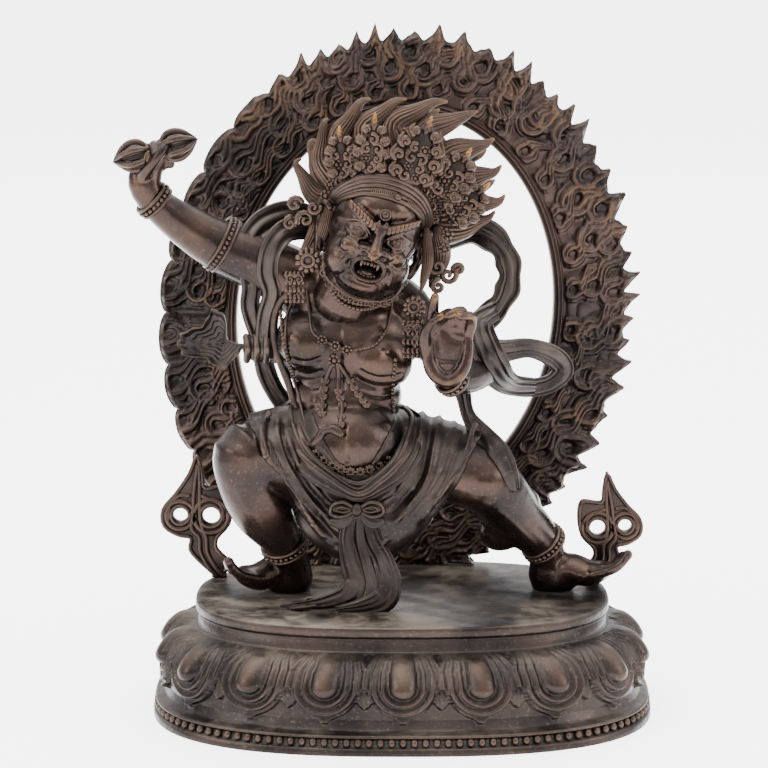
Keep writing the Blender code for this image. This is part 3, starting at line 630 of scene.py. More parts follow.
def ringPoint(angle, across):
    look = aureole
    rise = (look["halfHeight"] + look["band"] * across) * np.sin(angle)
    x = look["centreX"] + (look["halfWidth"] + look["band"] * across) * np.cos(angle) + look["lean"] * rise
    return x, look["centreZ"] + rise


def flameHeading(angle):
    side = np.cos(angle)
    return np.radians(40 + 26 * np.sin(angle) - 14 * np.maximum(0, side) - 22 * np.maximum(0, -side))


def flameHeight(x, z, centre, size, heading, spin, reach, wave):
    # a round pit with ridges about its near side, which run out into a wavy tail
    along = ((x - centre[0]) * math.cos(heading) + (z - centre[1]) * math.sin(heading)) / size
    aside = (-(x - centre[0]) * math.sin(heading) + (z - centre[1]) * math.cos(heading)) / size * spin
    out = np.clip(along, 0, None)
    bend = 0.34 * out**1.15 - 0.36 * np.sin(out * 2.3 + wave) * np.clip(out, 0, 1)
    across = aside - bend
    slim = 1 + 0.42 * np.clip(out - 0.4, 0, None)
    rho = np.sqrt(np.clip(-along, 0, None) ** 2 + (across * slim) ** 2)
    rim = 1.32 * np.clip((reach - along) / (reach - 0.6), 0, 1) ** 0.6
    inside = np.clip((rim - rho) / 0.16, 0, 1)
    drop = (along - 0.12) / 0.52
    pit = np.exp(-((drop**2 + (aside / (0.36 - 0.12 * np.clip(drop, -1, 1))) ** 2) ** 2))
    dome = 0.45 + 0.55 * np.clip(1 - (rho / 1.25) ** 2, 0, 1) * np.clip(1.25 - 0.2 * out, 0.3, 1)
    turned = rho + aureole["spiralPitch"] * np.arctan2(across, along) / math.tau
    ridges = np.abs(np.cos(math.pi * (turned - 0.60) / aureole["spiralPitch"])) ** 0.8
    fork = np.exp(-((across / 0.12) ** 2)) * np.clip(out - 0.7, 0, 1) * 0.8
    height = aureole["domeHeight"] * dome + aureole["ridgeHeight"] * ridges - fork
    height = height - aureole["pitDepth"] * pit
    return np.where(inside > 0, height * (0.35 + 0.65 * inside), 0)


def aureoleFlames():
    flames = []
    for row, (across, count, size) in enumerate(aureole["flameRows"]):
        for k in range(count):
            seed = k + 57 * row
            angle = -math.pi / 2 + math.tau * (k + 0.5 * (row % 2) + 0.3 * jitter(seed)) / count
            left, right = max(0.0, -math.cos(angle)), max(0.0, math.cos(angle))
            shift = (row == 2) * (0.05 * left - 0.07 * right - 0.04 * max(0.0, math.sin(angle)))
            place = across + 0.10 * jitter(seed + 9) + shift
            grown = size * (1 + 0.20 * jitter(seed + 5) + 0.12 * left * (row == 2))
            heading = float(flameHeading(angle)) + 0.5 * jitter(seed + 2)
            spin = 1 if jitter(seed + 7) > -0.25 else -1
            centre = [float(v) for v in ringPoint(angle, place)]
            flames.append(
                (centre, grown, heading, spin, 3.9 + 1.0 * jitter(seed + 3), 3 * jitter(seed + 4))
            )
    return flames


def aureoleEdge(angle):
    # how far the outline stands out past the band, in round lobes on the left and thorns elsewhere
    turn = angle / math.tau
    thorn = np.abs(2 * ((turn * 68 + 0.3 * np.sin(angle * 7)) % 1) - 1)
    small = np.abs(2 * ((turn * 136 + 0.3) % 1) - 1)
    thorns = (1 - thorn) ** 1.7 * (0.72 + 0.28 * np.sin(angle * 19)) + 0.12 * (1 - small)
    lobe = np.sqrt(np.clip(1 - (2 * ((turn * 34 + 0.06 * np.sin(angle * 9)) % 1) - 1) ** 2, 0, 1))
    left = np.clip((-np.cos(angle - 0.35) - 0.12) / 0.3, 0, 1)
    return thorns * (1 - left), lobe * left


def makeAureole(look):
    angle = np.linspace(0, math.tau, look["columns"], endpoint=False)
    thorns, lobes = aureoleEdge(angle)
    share = np.linspace(0, 1, look["rows"])[:, None]
    coreX, coreZ = ringPoint(angle[None, :], share * 0.93)
    edge = np.clip((share - 0.78) / 0.22, 0, 1) ** 1.3
    heading = flameHeading(angle)
    pushX = np.cos(angle) * 0.75 + np.cos(heading + 0.25) * 0.95
    pushZ = np.sin(angle) * 0.75 + np.sin(heading + 0.25) * 0.95
    size = np.hypot(pushX, pushZ) + 1e-6
    rise, swell = thorns * look["thornHeight"], lobes * look["lobeHeight"]
    x = coreX + edge * (rise * pushX / size + swell * np.cos(angle))
    z = coreZ + edge * (rise * pushZ / size + swell * np.sin(angle))
    aside = -x * np.sin(heading) + z * np.cos(heading)
    along = x * np.cos(heading) + z * np.sin(heading)
    height = 0.15 + 0.75 * np.abs(np.sin(math.pi * aside / 4.2 + 1.5 * np.sin(along / 4.6))) ** 0.7
    for centre, grown, way, spin, reach, wave in aureoleFlames():
        near = np.hypot(x - centre[0], z - centre[1]) < grown * (reach + 0.6)
        if near.any():
            made = flameHeight(x[near], z[near], centre, grown, way, spin, reach, wave)
            height[near] = np.maximum(height[near], made)
    inward = share * 0.93 * look["band"]
    plain = np.clip((inward - 5.2) / 1.2, 0, 1)
    rims = ((0.9, 0.75, 2.6), (2.7, 0.75, 2.9), (4.4, 0.6, 2.0))
    rim = sum(np.exp(-(((inward - at) / wide) ** 2)) * high for at, wide, high in rims)
    height = height * plain + rim * (1 - plain) + 0.3 * (1 - plain)
    height = height + (1.6 * thorns + 1.2 * lobes + 0.8 * np.cos(math.tau * 2.2 * thorns**0.5)) * edge
    height *= np.clip((1 - share) / 0.035, 0.35, 1) * np.clip(share / 0.008, 0.4, 1)
    front = look["front"] - height
    back = np.full(x.shape, look["back"])
    pick = np.array([0, look["rows"] // 3, 2 * look["rows"] // 3, look["rows"] - 1])[::-1]
    tidy = np.stack([x[pick], back[pick] - np.array([0.7, 0, 0, 0.7])[:, None], z[pick]], axis=-1)
    coords = np.concatenate(
        [np.stack([x, front, z], axis=-1), tidy, np.stack([x[:1], front[:1], z[:1]], axis=-1)]
    )
    bm = bmesh.new()
    patch = 0.5 + 0.5 * np.sin(x / 9 + 2 * np.sin(z / 14)) * np.cos(z / 11 + 1.5 * np.sin(x / 17))
    crests = 0.7 * np.clip((height - 2.3) / 1.2, 0, 1) * np.clip(1.9 * patch - 0.7, 0, 1) * plain
    rollGrid(bm, coords, np.vstack([crests, np.zeros((len(coords) - len(crests), x.shape[1]))]))
    bmesh.ops.remove_doubles(bm, verts=bm.verts, dist=1e-4)
    cut = bm.verts[:] + bm.edges[:] + bm.faces[:]
    made = bmesh.ops.bisect_plane(
        bm, geom=cut, dist=1e-5, plane_co=(0, 0, 0.3), plane_no=(0, 0, -1), clear_outer=True
    )
    edges = [g for g in made["geom_cut"] if isinstance(g, bmesh.types.BMEdge)]
    bmesh.ops.holes_fill(bm, edges=edges, sides=0)
    for side in (-1, 1):
        made = bmesh.ops.create_cube(bm, size=1.0)
        bmesh.ops.scale(bm, vec=(5.9, 2.8, 14), verts=made["verts"])
        bmesh.ops.translate(
            bm, vec=(ringPoint(-math.pi / 2, 1.0)[0] + side * 20, 57.1, 0), verts=made["verts"]
        )
    return finishPiece(bm, "flameAureole", ("flame_aureole",))


aureolePiece = makeAureole(aureole)
aureolePiece.data.materials.append(finishes["flame"])
print("flame aureole made")


# cloud sprigs at the plate's ends
sprigs = {
    "outline": (
        (-3.5, 0.3), (-3.5, 3), (-9, 8), (-14, 14), (-13.5, 20), (-20, 21.5), (-27, 26), (-27.5, 34),
        (-21, 42), (-14, 52), (-10, 61),
        (-7.6, 52), (-6, 45), (4.5, 46), (7, 37), (5.5, 27), (-0.5, 20), (-0.5, 14), (6, 7), (3.5, 3),
        (3.5, 0.3),
    ),
    "holes": ((-18.5, 31.3, 3.6), (-3.6, 30.8, 4.3)),
    "thickness": 5.0,
    # the left and right one: x, y, size, lean, and whether it is mirrored
    "places": ((-89.1, 29.9, 1.0, 0.0, False), (92.6, 19.1, 0.89, 3.0, True)),
}


def makeSprig(name, node, look, place):
    x, y, size, lean, mirror = place
    curve = bpy.data.curves.new(name, "CURVE")
    curve.dimensions = "2D"
    curve.fill_mode = "BOTH"
    curve.extrude = look["thickness"] / 2 - 0.9
    curve.bevel_depth = 0.9
    curve.bevel_resolution = 2
    curve.offset = -0.7
    loops = [smoothRows(look["outline"], 5).tolist()]
    for hx, hz, radius in look["holes"]:
        loops.append([(hx + p, hz + q) for p, q in ringPoints(radius, 23)[:-1]])
    for loop in loops:
        spline = curve.splines.new("POLY")
        spline.points.add(len(loop) - 1)
        for point, (px, pz) in zip(spline.points, loop):
            point.co = (px, pz, 0, 1)
        spline.use_cyclic_u = True
    drawing = bpy.data.objects.new(name + "Drawing", curve)
    bpy.context.scene.collection.objects.link(drawing)
    graph = bpy.context.evaluated_depsgraph_get()
    graph.update()
    flat = bpy.data.meshes.new_from_object(drawing.evaluated_get(graph), depsgraph=graph)
    bpy.data.objects.remove(drawing)
    bm = bmesh.new()
    bm.from_mesh(flat)
    bmesh.ops.transform(bm, matrix=Matrix.Rotation(math.pi / 2, 4, "X"), verts=bm.verts)
    face = -look["thickness"] / 2
    for hx, hz, radius in look["holes"]:
        for grow, thick in ((1.28, 1.15), (1.95, 1.5)):
            circle = ringPoints(radius * grow, 24, 0.5, math.tau + 0.2)
            ring = [(hx + p, face, hz + q, thick, 1.0) for p, q in circle]
            sweep(bm, ring, (0, -1, 0), 1, 6)
    border = [
        (px * 0.955 - 0.5, face, pz * 0.985 + 0.4, 1.15, 0.9) for px,
        pz in smoothRows(look["outline"], 3)[3:-3]
    ]
    sweep(bm, border, (0, -1, 0), 1, 7)
    for shift in (-1.4, 2.0):
        stem = [
            (shift, face, 0.8), (-4 + shift, face, 6), (-7.5 + shift, face, 13), (-8 + shift, face, 20),
            (-11 + shift * 1.5, face, 25), (-11 + shift, face, 33)
        ]
        stem += [(-10.5 + shift * 0.8, face, 44), (-9.6 + shift * 0.2, face, 56)]
        sweep(bm, [(*p, 1.3, 1.0) for p in stem], (0, -1, 0), 4, 7)
    for side in (-1, 1):
        arc = [
            (-11 + side * 3, face, 41), (-11 + side * 8, face, 40 - side),
            (-11 + side * 12.5, face, 36), (-11 + side * 13.5, face, 29)
        ]
        sweep(bm, [(*p, 1.25, 0.95) for p in arc], (0, -1, 0), 4, 7)
    if mirror:
        bmesh.ops.scale(bm, vec=(-1, 1, 1), verts=bm.verts)
    bmesh.ops.scale(bm, vec=(size, 1, size), verts=bm.verts)
    bmesh.ops.rotate(
        bm, cent=(0, 0, 0), matrix=Matrix.Rotation(math.radians(-lean), 3, "Y"), verts=bm.verts
    )
    bmesh.ops.translate(bm, vec=(x, y, 0), verts=bm.verts)
    return finishPiece(bm, name, (node,), merge=1e-5)


leftSprig = makeSprig("leftSprig", "cloud_sprig_left", sprigs, sprigs["places"][0])
rightSprig = makeSprig("rightSprig", "cloud_sprig_right", sprigs, sprigs["places"][1])
for piece in (leftSprig, rightSprig):
    piece.data.materials.append(finishes["flame"])
print("cloud sprigs made")


# the figure's bare body
body = {"voxel": 1.0, "soften": 9, "handVoxel": 0.62, "handSoften": 12}


def addTorso(bm):
    blob(bm, (-22, 0, 57), (31, 22, 19))
    blob(bm, (-25, -13, 77), (27, 24, 23))
    blob(bm, (-22, -19, 61), (23, 17, 14))
    blob(bm, (-26, -5, 97), (26, 21, 21))
    blob(bm, (-27, -3, 121), (34, 22, 25))
    blob(bm, (-44, -14, 124), (15, 11.5, 14), 10)
    blob(bm, (-11, -16, 116), (16, 11.5, 14), 22)
    blob(bm, (-27, -2, 136), (26, 17, 14), 12)
    sweep(bm, [(-52, 4, 148, 14), (-27, 4, 147, 17), (0, 4, 137, 14)], facing=(0, 0, 1), sides=20)
    sweep(bm, [(-27, 0, 138, 18), (-22, -9, 158, 15)], sides=20)
    blob(bm, (-51.4, -24.2, 128.4), (1.7, 1.7, 1.7))
    blob(bm, (-8.6, -26.5, 121.5), (1.6, 1.7, 1.6))


def addRaisedArm(bm):
    arm = [
        (-50, 2, 151, 15), (-70, 0, 161, 13.8), (-86, -2, 168, 12.2), (-103, -6, 179, 9.6),
        (-117, -10, 191, 7.4)
    ]
    sweep(bm, arm, sides=20, steps=5)


def addFrontArm(bm):
    arm = [
        (0, 3, 138, 13), (13, -1, 124, 11.5), (31, -8, 114, 10.5), (38, -14, 114, 9.5),
        (31, -27, 111, 8.6), (22, -38, 111, 7)
    ]
    sweep(bm, arm, sides=20, steps=5)


def addLegs(bm):
    bent = [
        (-32, -3, 58, 19), (-55, -18, 69, 18.5), (-73, -27.5, 75, 14.8), (-73, -27, 61, 13.6),
        (-66, -19, 45, 14)
    ]
    bent += [(-57.5, -8, 28, 9.6), (-53.5, 0, 17, 8.6), (-51, 4, 5, 8.6)]
    sweep(bm, bent, facing=(1, 0, 0), sides=22, steps=5)
    blob(bm, (-75, -31, 73), (11.5, 10.5, 11))
    blob(bm, (-63, -14, 47), (11.5, 12, 17), 22)
    straight = [
        (-6, -2, 67, 19), (17, -10, 66, 18.5), (38, -17, 59, 16), (53, -8, 40, 13.2), (68, 4, 22, 9.4),
        (69, 7, 6, 8.4)
    ]
    sweep(bm, straight, facing=(0, 0, 1), sides=22, steps=5)
    blob(bm, (38, -20.5, 60), (13.5, 13, 13), 35)
    blob(bm, (51, -6, 38), (12.5, 11.5, 18), 38)
    for heel, ball, tip, side in (
        ((-50, 7, 3), (-75, -6, 10), (-85, -14, 19), -1), ((68, 8, 3), (96, 0, 11), (109, -2, 19.5), 1)
    ):
        heel, ball, tip = Vector(heel), Vector(ball), Vector(tip)
        ankle = heel.lerp(ball, 0.42) + Vector((0, 0, 4.5))
        rows = [
            (*heel, 8.2, 7.5), (*heel.lerp(ball, 0.3), 8.2, 8), (*ankle, 8.3, 7.5),
            (*heel.lerp(ball, 0.75), 8.6, 6.6), (*ball, 8.4, 4.8)
        ]
        sweep(bm, rows, facing=(0, 0, 1), sides=18, steps=4)
        aside = (ball - heel).cross(Vector((0, 0, 1))).normalized()
        for k in range(5):
            spread = (k - 2) * 3.4
            bend = 1 - 0.11 * k
            root = ball.lerp(heel, 0.12) + aside * spread * side * -1
            mid = ball.lerp(tip, 0.55 * bend) + aside * spread * side * -1.06 + Vector((0, 0, -1.6))
            end = ball.lerp(tip, 1.0 * bend) + aside * spread * side * -1.0 + Vector((0, 0, 0.8))
            thick = 2.9 if k == 0 else 2.3
            sweep(
                bm,
                [(*root, thick, thick), (*mid, thick, thick * 0.95), (*end, thick * 0.8, thick * 0.8)],
                facing=(0, 0, 1), sides=10, steps=4
            )
            blob(bm, end + Vector((0, 0, 0.4)), (thick * 0.95, thick * 0.95, thick * 0.95), 0, 2)


def addHands(bm):
    # the front hand: a cupped palm, the first finger raised and the others bent over towards the thumb
    sweep(
        bm,
        [
            (23, -37, 110.5, 6.6, 5.6), (20.3, -39.5, 116, 8.4, 5.6), (19.8, -40.5, 124, 9.8, 4.8),
            (21, -40.5, 132, 10.0, 4.0), (21.5, -40, 139, 8.6, 3.2)
        ],
        sides=18, steps=4
    )
    edge = [
        (13.2, -42, 134, 2.2), (11.8, -43.5, 126, 2.9), (12.6, -44, 118.5, 3.5),
        (15.8, -44.5, 113.6, 3.6), (20.2, -44.5, 111.8, 3.6)
    ]
    edge += [
        (24.8, -44.5, 113.8, 3.5), (28.2, -44, 119, 3.2), (29.6, -43, 126, 2.8), (29.6, -42, 133, 2.4)
    ]
    sweep(bm, edge, steps=5, sides=12)
    for rows in (
        [
            (13.8, -41.5, 132, 3.2), (13.4, -43, 140, 2.9), (13.9, -45, 146, 2.6),
            (14.6, -46, 151.2, 2.1)
        ],
        [
            (21.0, -40, 136, 2.9), (21.8, -43.5, 142.4, 2.6), (19.4, -47.4, 143.2, 2.3),
            (15.6, -49.6, 141.4, 1.9)
        ],
        [
            (25.6, -40, 136, 2.9), (27.2, -44, 143.2, 2.6), (24.0, -48.6, 144.4, 2.3),
            (19.8, -51.0, 142.8, 1.9)
        ],
        [
            (29.0, -41, 130, 2.8), (31.4, -44, 138.4, 2.6), (30.4, -48, 142.4, 2.3),
            (25.8, -51.2, 142.4, 1.9)
        ],
        [
            (12.0, -42, 120, 3.2), (9.8, -45, 128, 2.8), (10.4, -48, 135.4, 2.4),
            (13.4, -50.6, 140.4, 1.9)
        ],
    ):
        sweep(bm, rows, steps=4, sides=12)
    # the raised hand: four fingers behind the sceptre's waist, and the thumb over it
    sweep(
        bm,
        [
            (-116, -10, 190, 7.0), (-119.5, -11.5, 198, 7.8, 6), (-118, -10, 206, 7.4, 4.6),
            (-114, -9, 212, 6.4, 3.8)
        ],
        sides=16
    )
    for k in range(4):
        x, z = -118.5 + 3.6 * k, 208.5 + 1.0 * k
        tip = 6.5 - 0.8 * abs(k - 1.5)
        finger = [
            (x, -8.5, z - 5, 2.3), (x - 0.4, -9.5, z + 4, 2.1), (x, -13.5, z + tip + 1.5, 1.9),
            (x + 0.3, -18.5, z + tip - 0.5, 1.7), (x + 0.4, -20.5, z + tip - 3.5, 1.4)
        ]
        sweep(bm, finger, steps=4, sides=12)
    thumb = [
        (-121, -13, 200, 3.2), (-117.5, -18.5, 205.5, 2.9), (-113, -22.0, 211, 2.5),
        (-109.8, -21.6, 215.5, 2.2), (-108.6, -19.6, 218, 1.8)
    ]
    sweep(bm, thumb, steps=4, sides=12)


handLines = [
    # the palm's hollow and its creases
    ([(20, 120), (20.5, 127), (21.5, 136)], 4.6, -0.8),
    ([(15, 134), (16.5, 127), (17.5, 120)], 1.3, -0.6),
    ([(18, 137), (22, 131.5), (28, 129.5)], 1.2, -0.5),
]
handRubs = [
    # x, y, z, reach and amount
    (14.6, -46, 151, 3, 1.0), (18, -50, 143, 3, 0.6), (24, -50, 144, 3, 0.8), (30, -49, 141, 3, 0.7),
    (12, -49, 138, 2.6, 0.5),
    (15, -49, 112, 2.6, 0.4), (21, -49, 110, 2.8, 0.5), (27, -49, 113, 2.8, 0.5),
    (31.5, -47, 122, 2.4, 0.4), (9, -47, 121, 2.4, 0.35), (-118.5, -20, 211, 3, 0.5),
    (-111, -20, 212, 3, 0.5), (-122, -15, 199, 3.6, 0.4),
]


def makeHands(look):
    bm = bmesh.new()
    addHands(bm)
    mesh = fuse(bm, "hands", look["handVoxel"], look["handSoften"])
    carve(mesh, handLines)
    rubAndHighlight(mesh, handRubs)
    return placePiece(mesh, "hands", ())


bodyLines = [
    # belly and rib creases, the line down the chest and the fold under the breasts
    ([(-56, 118.5), (-45.2, 116.2), (-36.4, 118.8)], 1.0, -1.0),
    ([(-54, 112), (-44.8, 109.6), (-36.4, 112.6)], 0.9, -0.9),
    ([(-51.5, 105.6), (-42.9, 103.4), (-35.4, 106.6)], 0.8, -1.0),
    ([(-20.9, 113), (-11.5, 109.4), (0.5, 110.5)], 0.9, -0.9),
    ([(-21.7, 108.4), (-12.4, 104.6), (0.2, 105.2)], 0.8, -1.0),
    ([(-20.9, 103.2), (-10.5, 99.8), (-0.6, 100.2)], 0.8, -0.9),
    ([(-29.5, 134), (-29.2, 124), (-28.6, 113), (-27.6, 100)], 1.6, -1.1),
    ([(-27.3, 90), (-27.6, 80), (-25.4, 70)], 1.8, -1.2),
    ([(-40, 98), (-47, 88), (-46, 74)], 1.6, 0.5),
    ([(-14, 96), (-5, 86), (-5, 74)], 1.6, 0.5),
    ([(-62, 133), (-57, 120), (-50, 104)], 1.2, -0.6),
    # collar bones
    ([(-48, 147.5), (-38, 143), (-30, 143.5)], 1.6, 0.7),
    ([(-4, 138.5), (-14, 137.5), (-22, 141)], 1.6, 0.7),
    # shin edges and calf lines
    ([(-77, 62), (-70, 47), (-61, 31)], 1.6, 0.6),
    ([(45, 47), (55, 35), (64, 24)], 1.6, 0.6),
]


bodyRubsAndHighlights = [
    # toes and nipples rubbed bright, and painted highlights as broad faint spots on the knees, shins, belly,
    # breasts, raised arm and right foot: x, y, z, reach and amount
    (-85, -14, 19, 4, 0.9), (-80, -10, 13, 4, 0.4), (109, -2, 20, 4.5, 1.0), (103, -2, 15, 5, 0.5),
    (-76, -42, 76, 7, 0.2),
    (40, -34, 62, 7, 0.2), (-26, -37, 84, 10, 0.22), (-44, -26, 125, 7, 0.25), (-12, -28, 118, 7, 0.25),
    (88, -4, 14, 7, 0.3),
    (-95, -12, 176, 7, 0.2), (-66, -26, 47, 6, 0.1), (55, -18, 40, 6, 0.12),
    (-51.4, -26, 128.4, 2, 0.6), (-8.6, -28, 121.5, 2, 0.6),
]


def makeBody(look):
    bm = bmesh.new()
    for add in (addTorso, addRaisedArm, addFrontArm, addLegs):
        add(bm)
    mesh = fuse(bm, "figureBody", look["voxel"], look["soften"])
    carve(mesh, bodyLines)
    flat = bmesh.new()
    flat.from_mesh(mesh)
    everything = flat.verts[:] + flat.edges[:] + flat.faces[:]
    height = plateTop + 0.3 * mm
    made = bmesh.ops.bisect_plane(
        flat, geom=everything, dist=1e-6, plane_co=(0, 0, height), plane_no=(0, 0, -1), clear_outer=True
    )
    edges = [g for g in made["geom_cut"] if isinstance(g, bmesh.types.BMEdge)]
    bmesh.ops.holes_fill(flat, edges=edges, sides=0)
    flat.to_mesh(mesh)
    flat.free()
    rubAndHighlight(mesh, bodyRubsAndHighlights)
    return placePiece(mesh, "figureBody", ("figure",))


figureBody = makeBody(body)
hands = makeHands(body)
for piece in (figureBody, hands):
    piece.data.materials.append(finishes["skin"])
print("body made")


def skinTree(piece):
    bm = bmesh.new()
    bm.from_mesh(piece.data)
    tree = BVHTree.FromBMesh(bm)
    bm.free()
    return tree


skin = [skinTree(figureBody)]


def onSkin(x, z, lift=0.0, fallback=-30.0):
    # where a line from the viewer meets the body, in millimetres above the plate
    start = Vector((x * mm, -0.2, z * mm + plateTop))
    hits = [tree.ray_cast(start, Vector((0, 1, 0)))[0] for tree in skin]
    y = min([hit.y / mm for hit in hits if hit], default=fallback)
    return (x, y - lift, z)


def drape(points, lift, wide, thick=None, fallback=-9.0, steps=6):
    # a path laid on the body, with its depth evened out so that it bridges hollows
    run = smoothRows(points, steps)
    deep = np.array([min(onSkin(x, z, 0, fallback)[1], fallback) for x, z in run])
    even = np.convolve(np.pad(deep, 3, mode="edge"), np.ones(7) / 7, mode="valid")
    deep = np.minimum(deep, even) - lift
    return [(x, y, z, wide, thick or wide) for (x, z), y in zip(run, deep)]


# head and face, in the head's own frame: x to its left, z up, -y ahead
head = {"voxel": 0.62, "soften": 4, "centre": (-14.3, -13.2, 174.4), "tilt": 17.5, "yaw": 5.0}
headTurn = (
    Matrix.Translation(head["centre"])
    @ Matrix.Rotation(math.radians(head["tilt"]), 4, "Y")
    @ Matrix.Rotation(math.radians(head["yaw"]), 4, "Z")
)


def turnHead(bm):
    bmesh.ops.transform(bm, matrix=headTurn, verts=bm.verts)


def addSkull(bm):
    blob(bm, (0, 1, 8), (21.3, 22.5, 22.5))
    blob(bm, (0, -4, -9), (20.2, 19.5, 17.5))
    blob(bm, (0, -13, -19.5), (12.5, 11, 7.5))
    blob(bm, (0, -11.5, 15), (15.5, 12.5, 10.5))
    blob(bm, (0, -4, 0), (21, 19, 15))
    for side in (-1, 1):
        blob(bm, (side * 10.8, -12.0, -11.0), (9.2, 10.6, 10.5))
        blob(bm, (side * 10.8, -20.4, -4.3), (5.1, 4.6, 4.4))
        sweep(
            bm,
            [(side * 2.4, -25.2, 7.4, 2.0), (side * 8.5, -23.6, 9.6, 2.4), (side * 16, -18, 13.2, 1.8)],
            sides=12
        )
        blob(bm, (side * 9.7, -18.8, 3.3), (5.4, 5.0, 4.2))
        sweep(
            bm,
            [
                (side * 4.4, -23.4, 2.4, 0.8), (side * 9.4, -24.0, 6.6, 1.15),
                (side * 15.4, -19.2, 4.6, 0.8)
            ],
            sides=8
        )
        sweep(
            bm,
            [
                (side * 4.4, -23.4, 1.8, 0.8), (side * 9.6, -23.7, 0.0, 0.95),
                (side * 15.4, -19.2, 3.4, 0.7)
            ],
            sides=8
        )
        blob(bm, (side * 4.4, -26.2, -3.6), (3.5, 3.6, 2.9))
        sweep(
            bm,
            [
                (side * 4.8, -27.2, -5.4, 1.5), (side * 7.8, -25.6, -4.2, 1.5),
                (side * 8.6, -24.0, -1.6, 1.0)
            ],
            sides=10
        )
        sweep(
            bm,
            [
                (side * 6.6, -25.6, -6.6, 1.3), (side * 11.2, -22.6, -10.4, 1.5),
                (side * 11.6, -20.8, -17, 1.0)
            ],
            sides=10
        )
        sweep(bm, [(side * 1.8, -25.2, 5, 1.1), (side * 1.7, -24.8, 11, 0.8)], sides=8)
        ear = [
            (22.6, -2.5, 7, 1.9), (25.2, -1, 9, 2.1), (26.4, 1, 4, 2.0), (25.2, 0.5, -3, 1.8),
            (23.2, -2, -9, 2.4), (22, -2.5, -13, 2.2)
        ]
        sweep(bm, [(side * x, y, z, r) for x, y, z, r in ear], sides=10)
        blob(bm, (side * 23, 1.5, 0), (2.2, 3.4, 8.5))
    sweep(bm, [(0, -24.6, 8, 1.9), (0, -26.4, 2.5, 2.2), (0, -29.4, -3.6, 3.3)], sides=14)
    blob(bm, (0, -29.4, -4.4), (3.4, 2.9, 2.7))
    lips = [(7.0 * p, -25.2 + 1.6 * abs(p), -12.4 + 4.6 * q, 1.7) for p, q in ringPoints(1, 25)]
    sweep(bm, lips, steps=1, sides=8)
    sweep(bm, [(0, -2, -14, 15.5), (-3, 4, -34, 15.5)], sides=24)


headRubsAndHighlights = [
    # the nose rubbed bright, and painted highlights on the eye bags, cheeks, chin, forehead and ears, in the
    # head's frame, each with its reach and amount
    ((0, -32, -4.6), 3.6, 0.9), ((10.8, -25, -4.3), 4, 0.35), ((-10.8, -25, -4.3), 4, 0.35),
    ((14, -18, -12), 5, 0.25),
    ((-14, -18, -12), 5, 0.3), ((0, -24, -20), 5, 0.3), ((8, -22, 16), 6, 0.25),
    ((-8, -22, 16), 5, 0.2), ((-25, 0, 4), 3, 0.4), ((25, 0, 4), 3, 0.4),
]


def makeHead(look):
    bm = bmesh.new()
    addSkull(bm)
    turnHead(bm)
    mesh = fuse(bm, "figureHead", look["voxel"], look["soften"])
    places = readMesh(mesh)[0]
    back = np.array(headTurn.inverted())
    local = places @ back[:3, :3].T + back[:3, 3]
    push = np.zeros(len(local))
    ahead = local[:, 1] < -12
    side = np.abs(local[:, 0])

    def dent(cx, cz, rx, rz, deep, power=2.0):
        off = ((side - cx) / rx) ** 2 + ((local[:, 2] - cz) / rz) ** 2
        return deep * np.exp(-(off ** (power / 2))) * ahead

    push += dent(0, -12.4, 5.7, 3.5, 6.0, 4)
    push += dent(4.3, -5.0, 1.5, 0.9, 1.8)
    push += dent(12.5, -7.6, 6, 1.0, 0.7) + dent(3.4, 10.5, 0.6, 3.2, 0.7)
    push += dent(0, -19.4, 6, 1.1, 0.9) + dent(10.4, -0.9, 5.5, 0.6, 0.7)
    places += np.column_stack(
        [np.zeros_like(push), push, np.zeros_like(push)]
    ) @ np.array(headTurn)[:3, :3].T
    writeMesh(mesh, places)
    rubs = [(*(headTurn @ Vector(spot)), reach, amount) for spot, reach, amount in headRubsAndHighlights]
    rubAndHighlight(mesh, rubs)
    return placePiece(mesh, "figureHead", ())


figureHead = makeHead(head)
figureHead.data.materials.append(finishes["skin"])
skin.append(skinTree(figureHead))


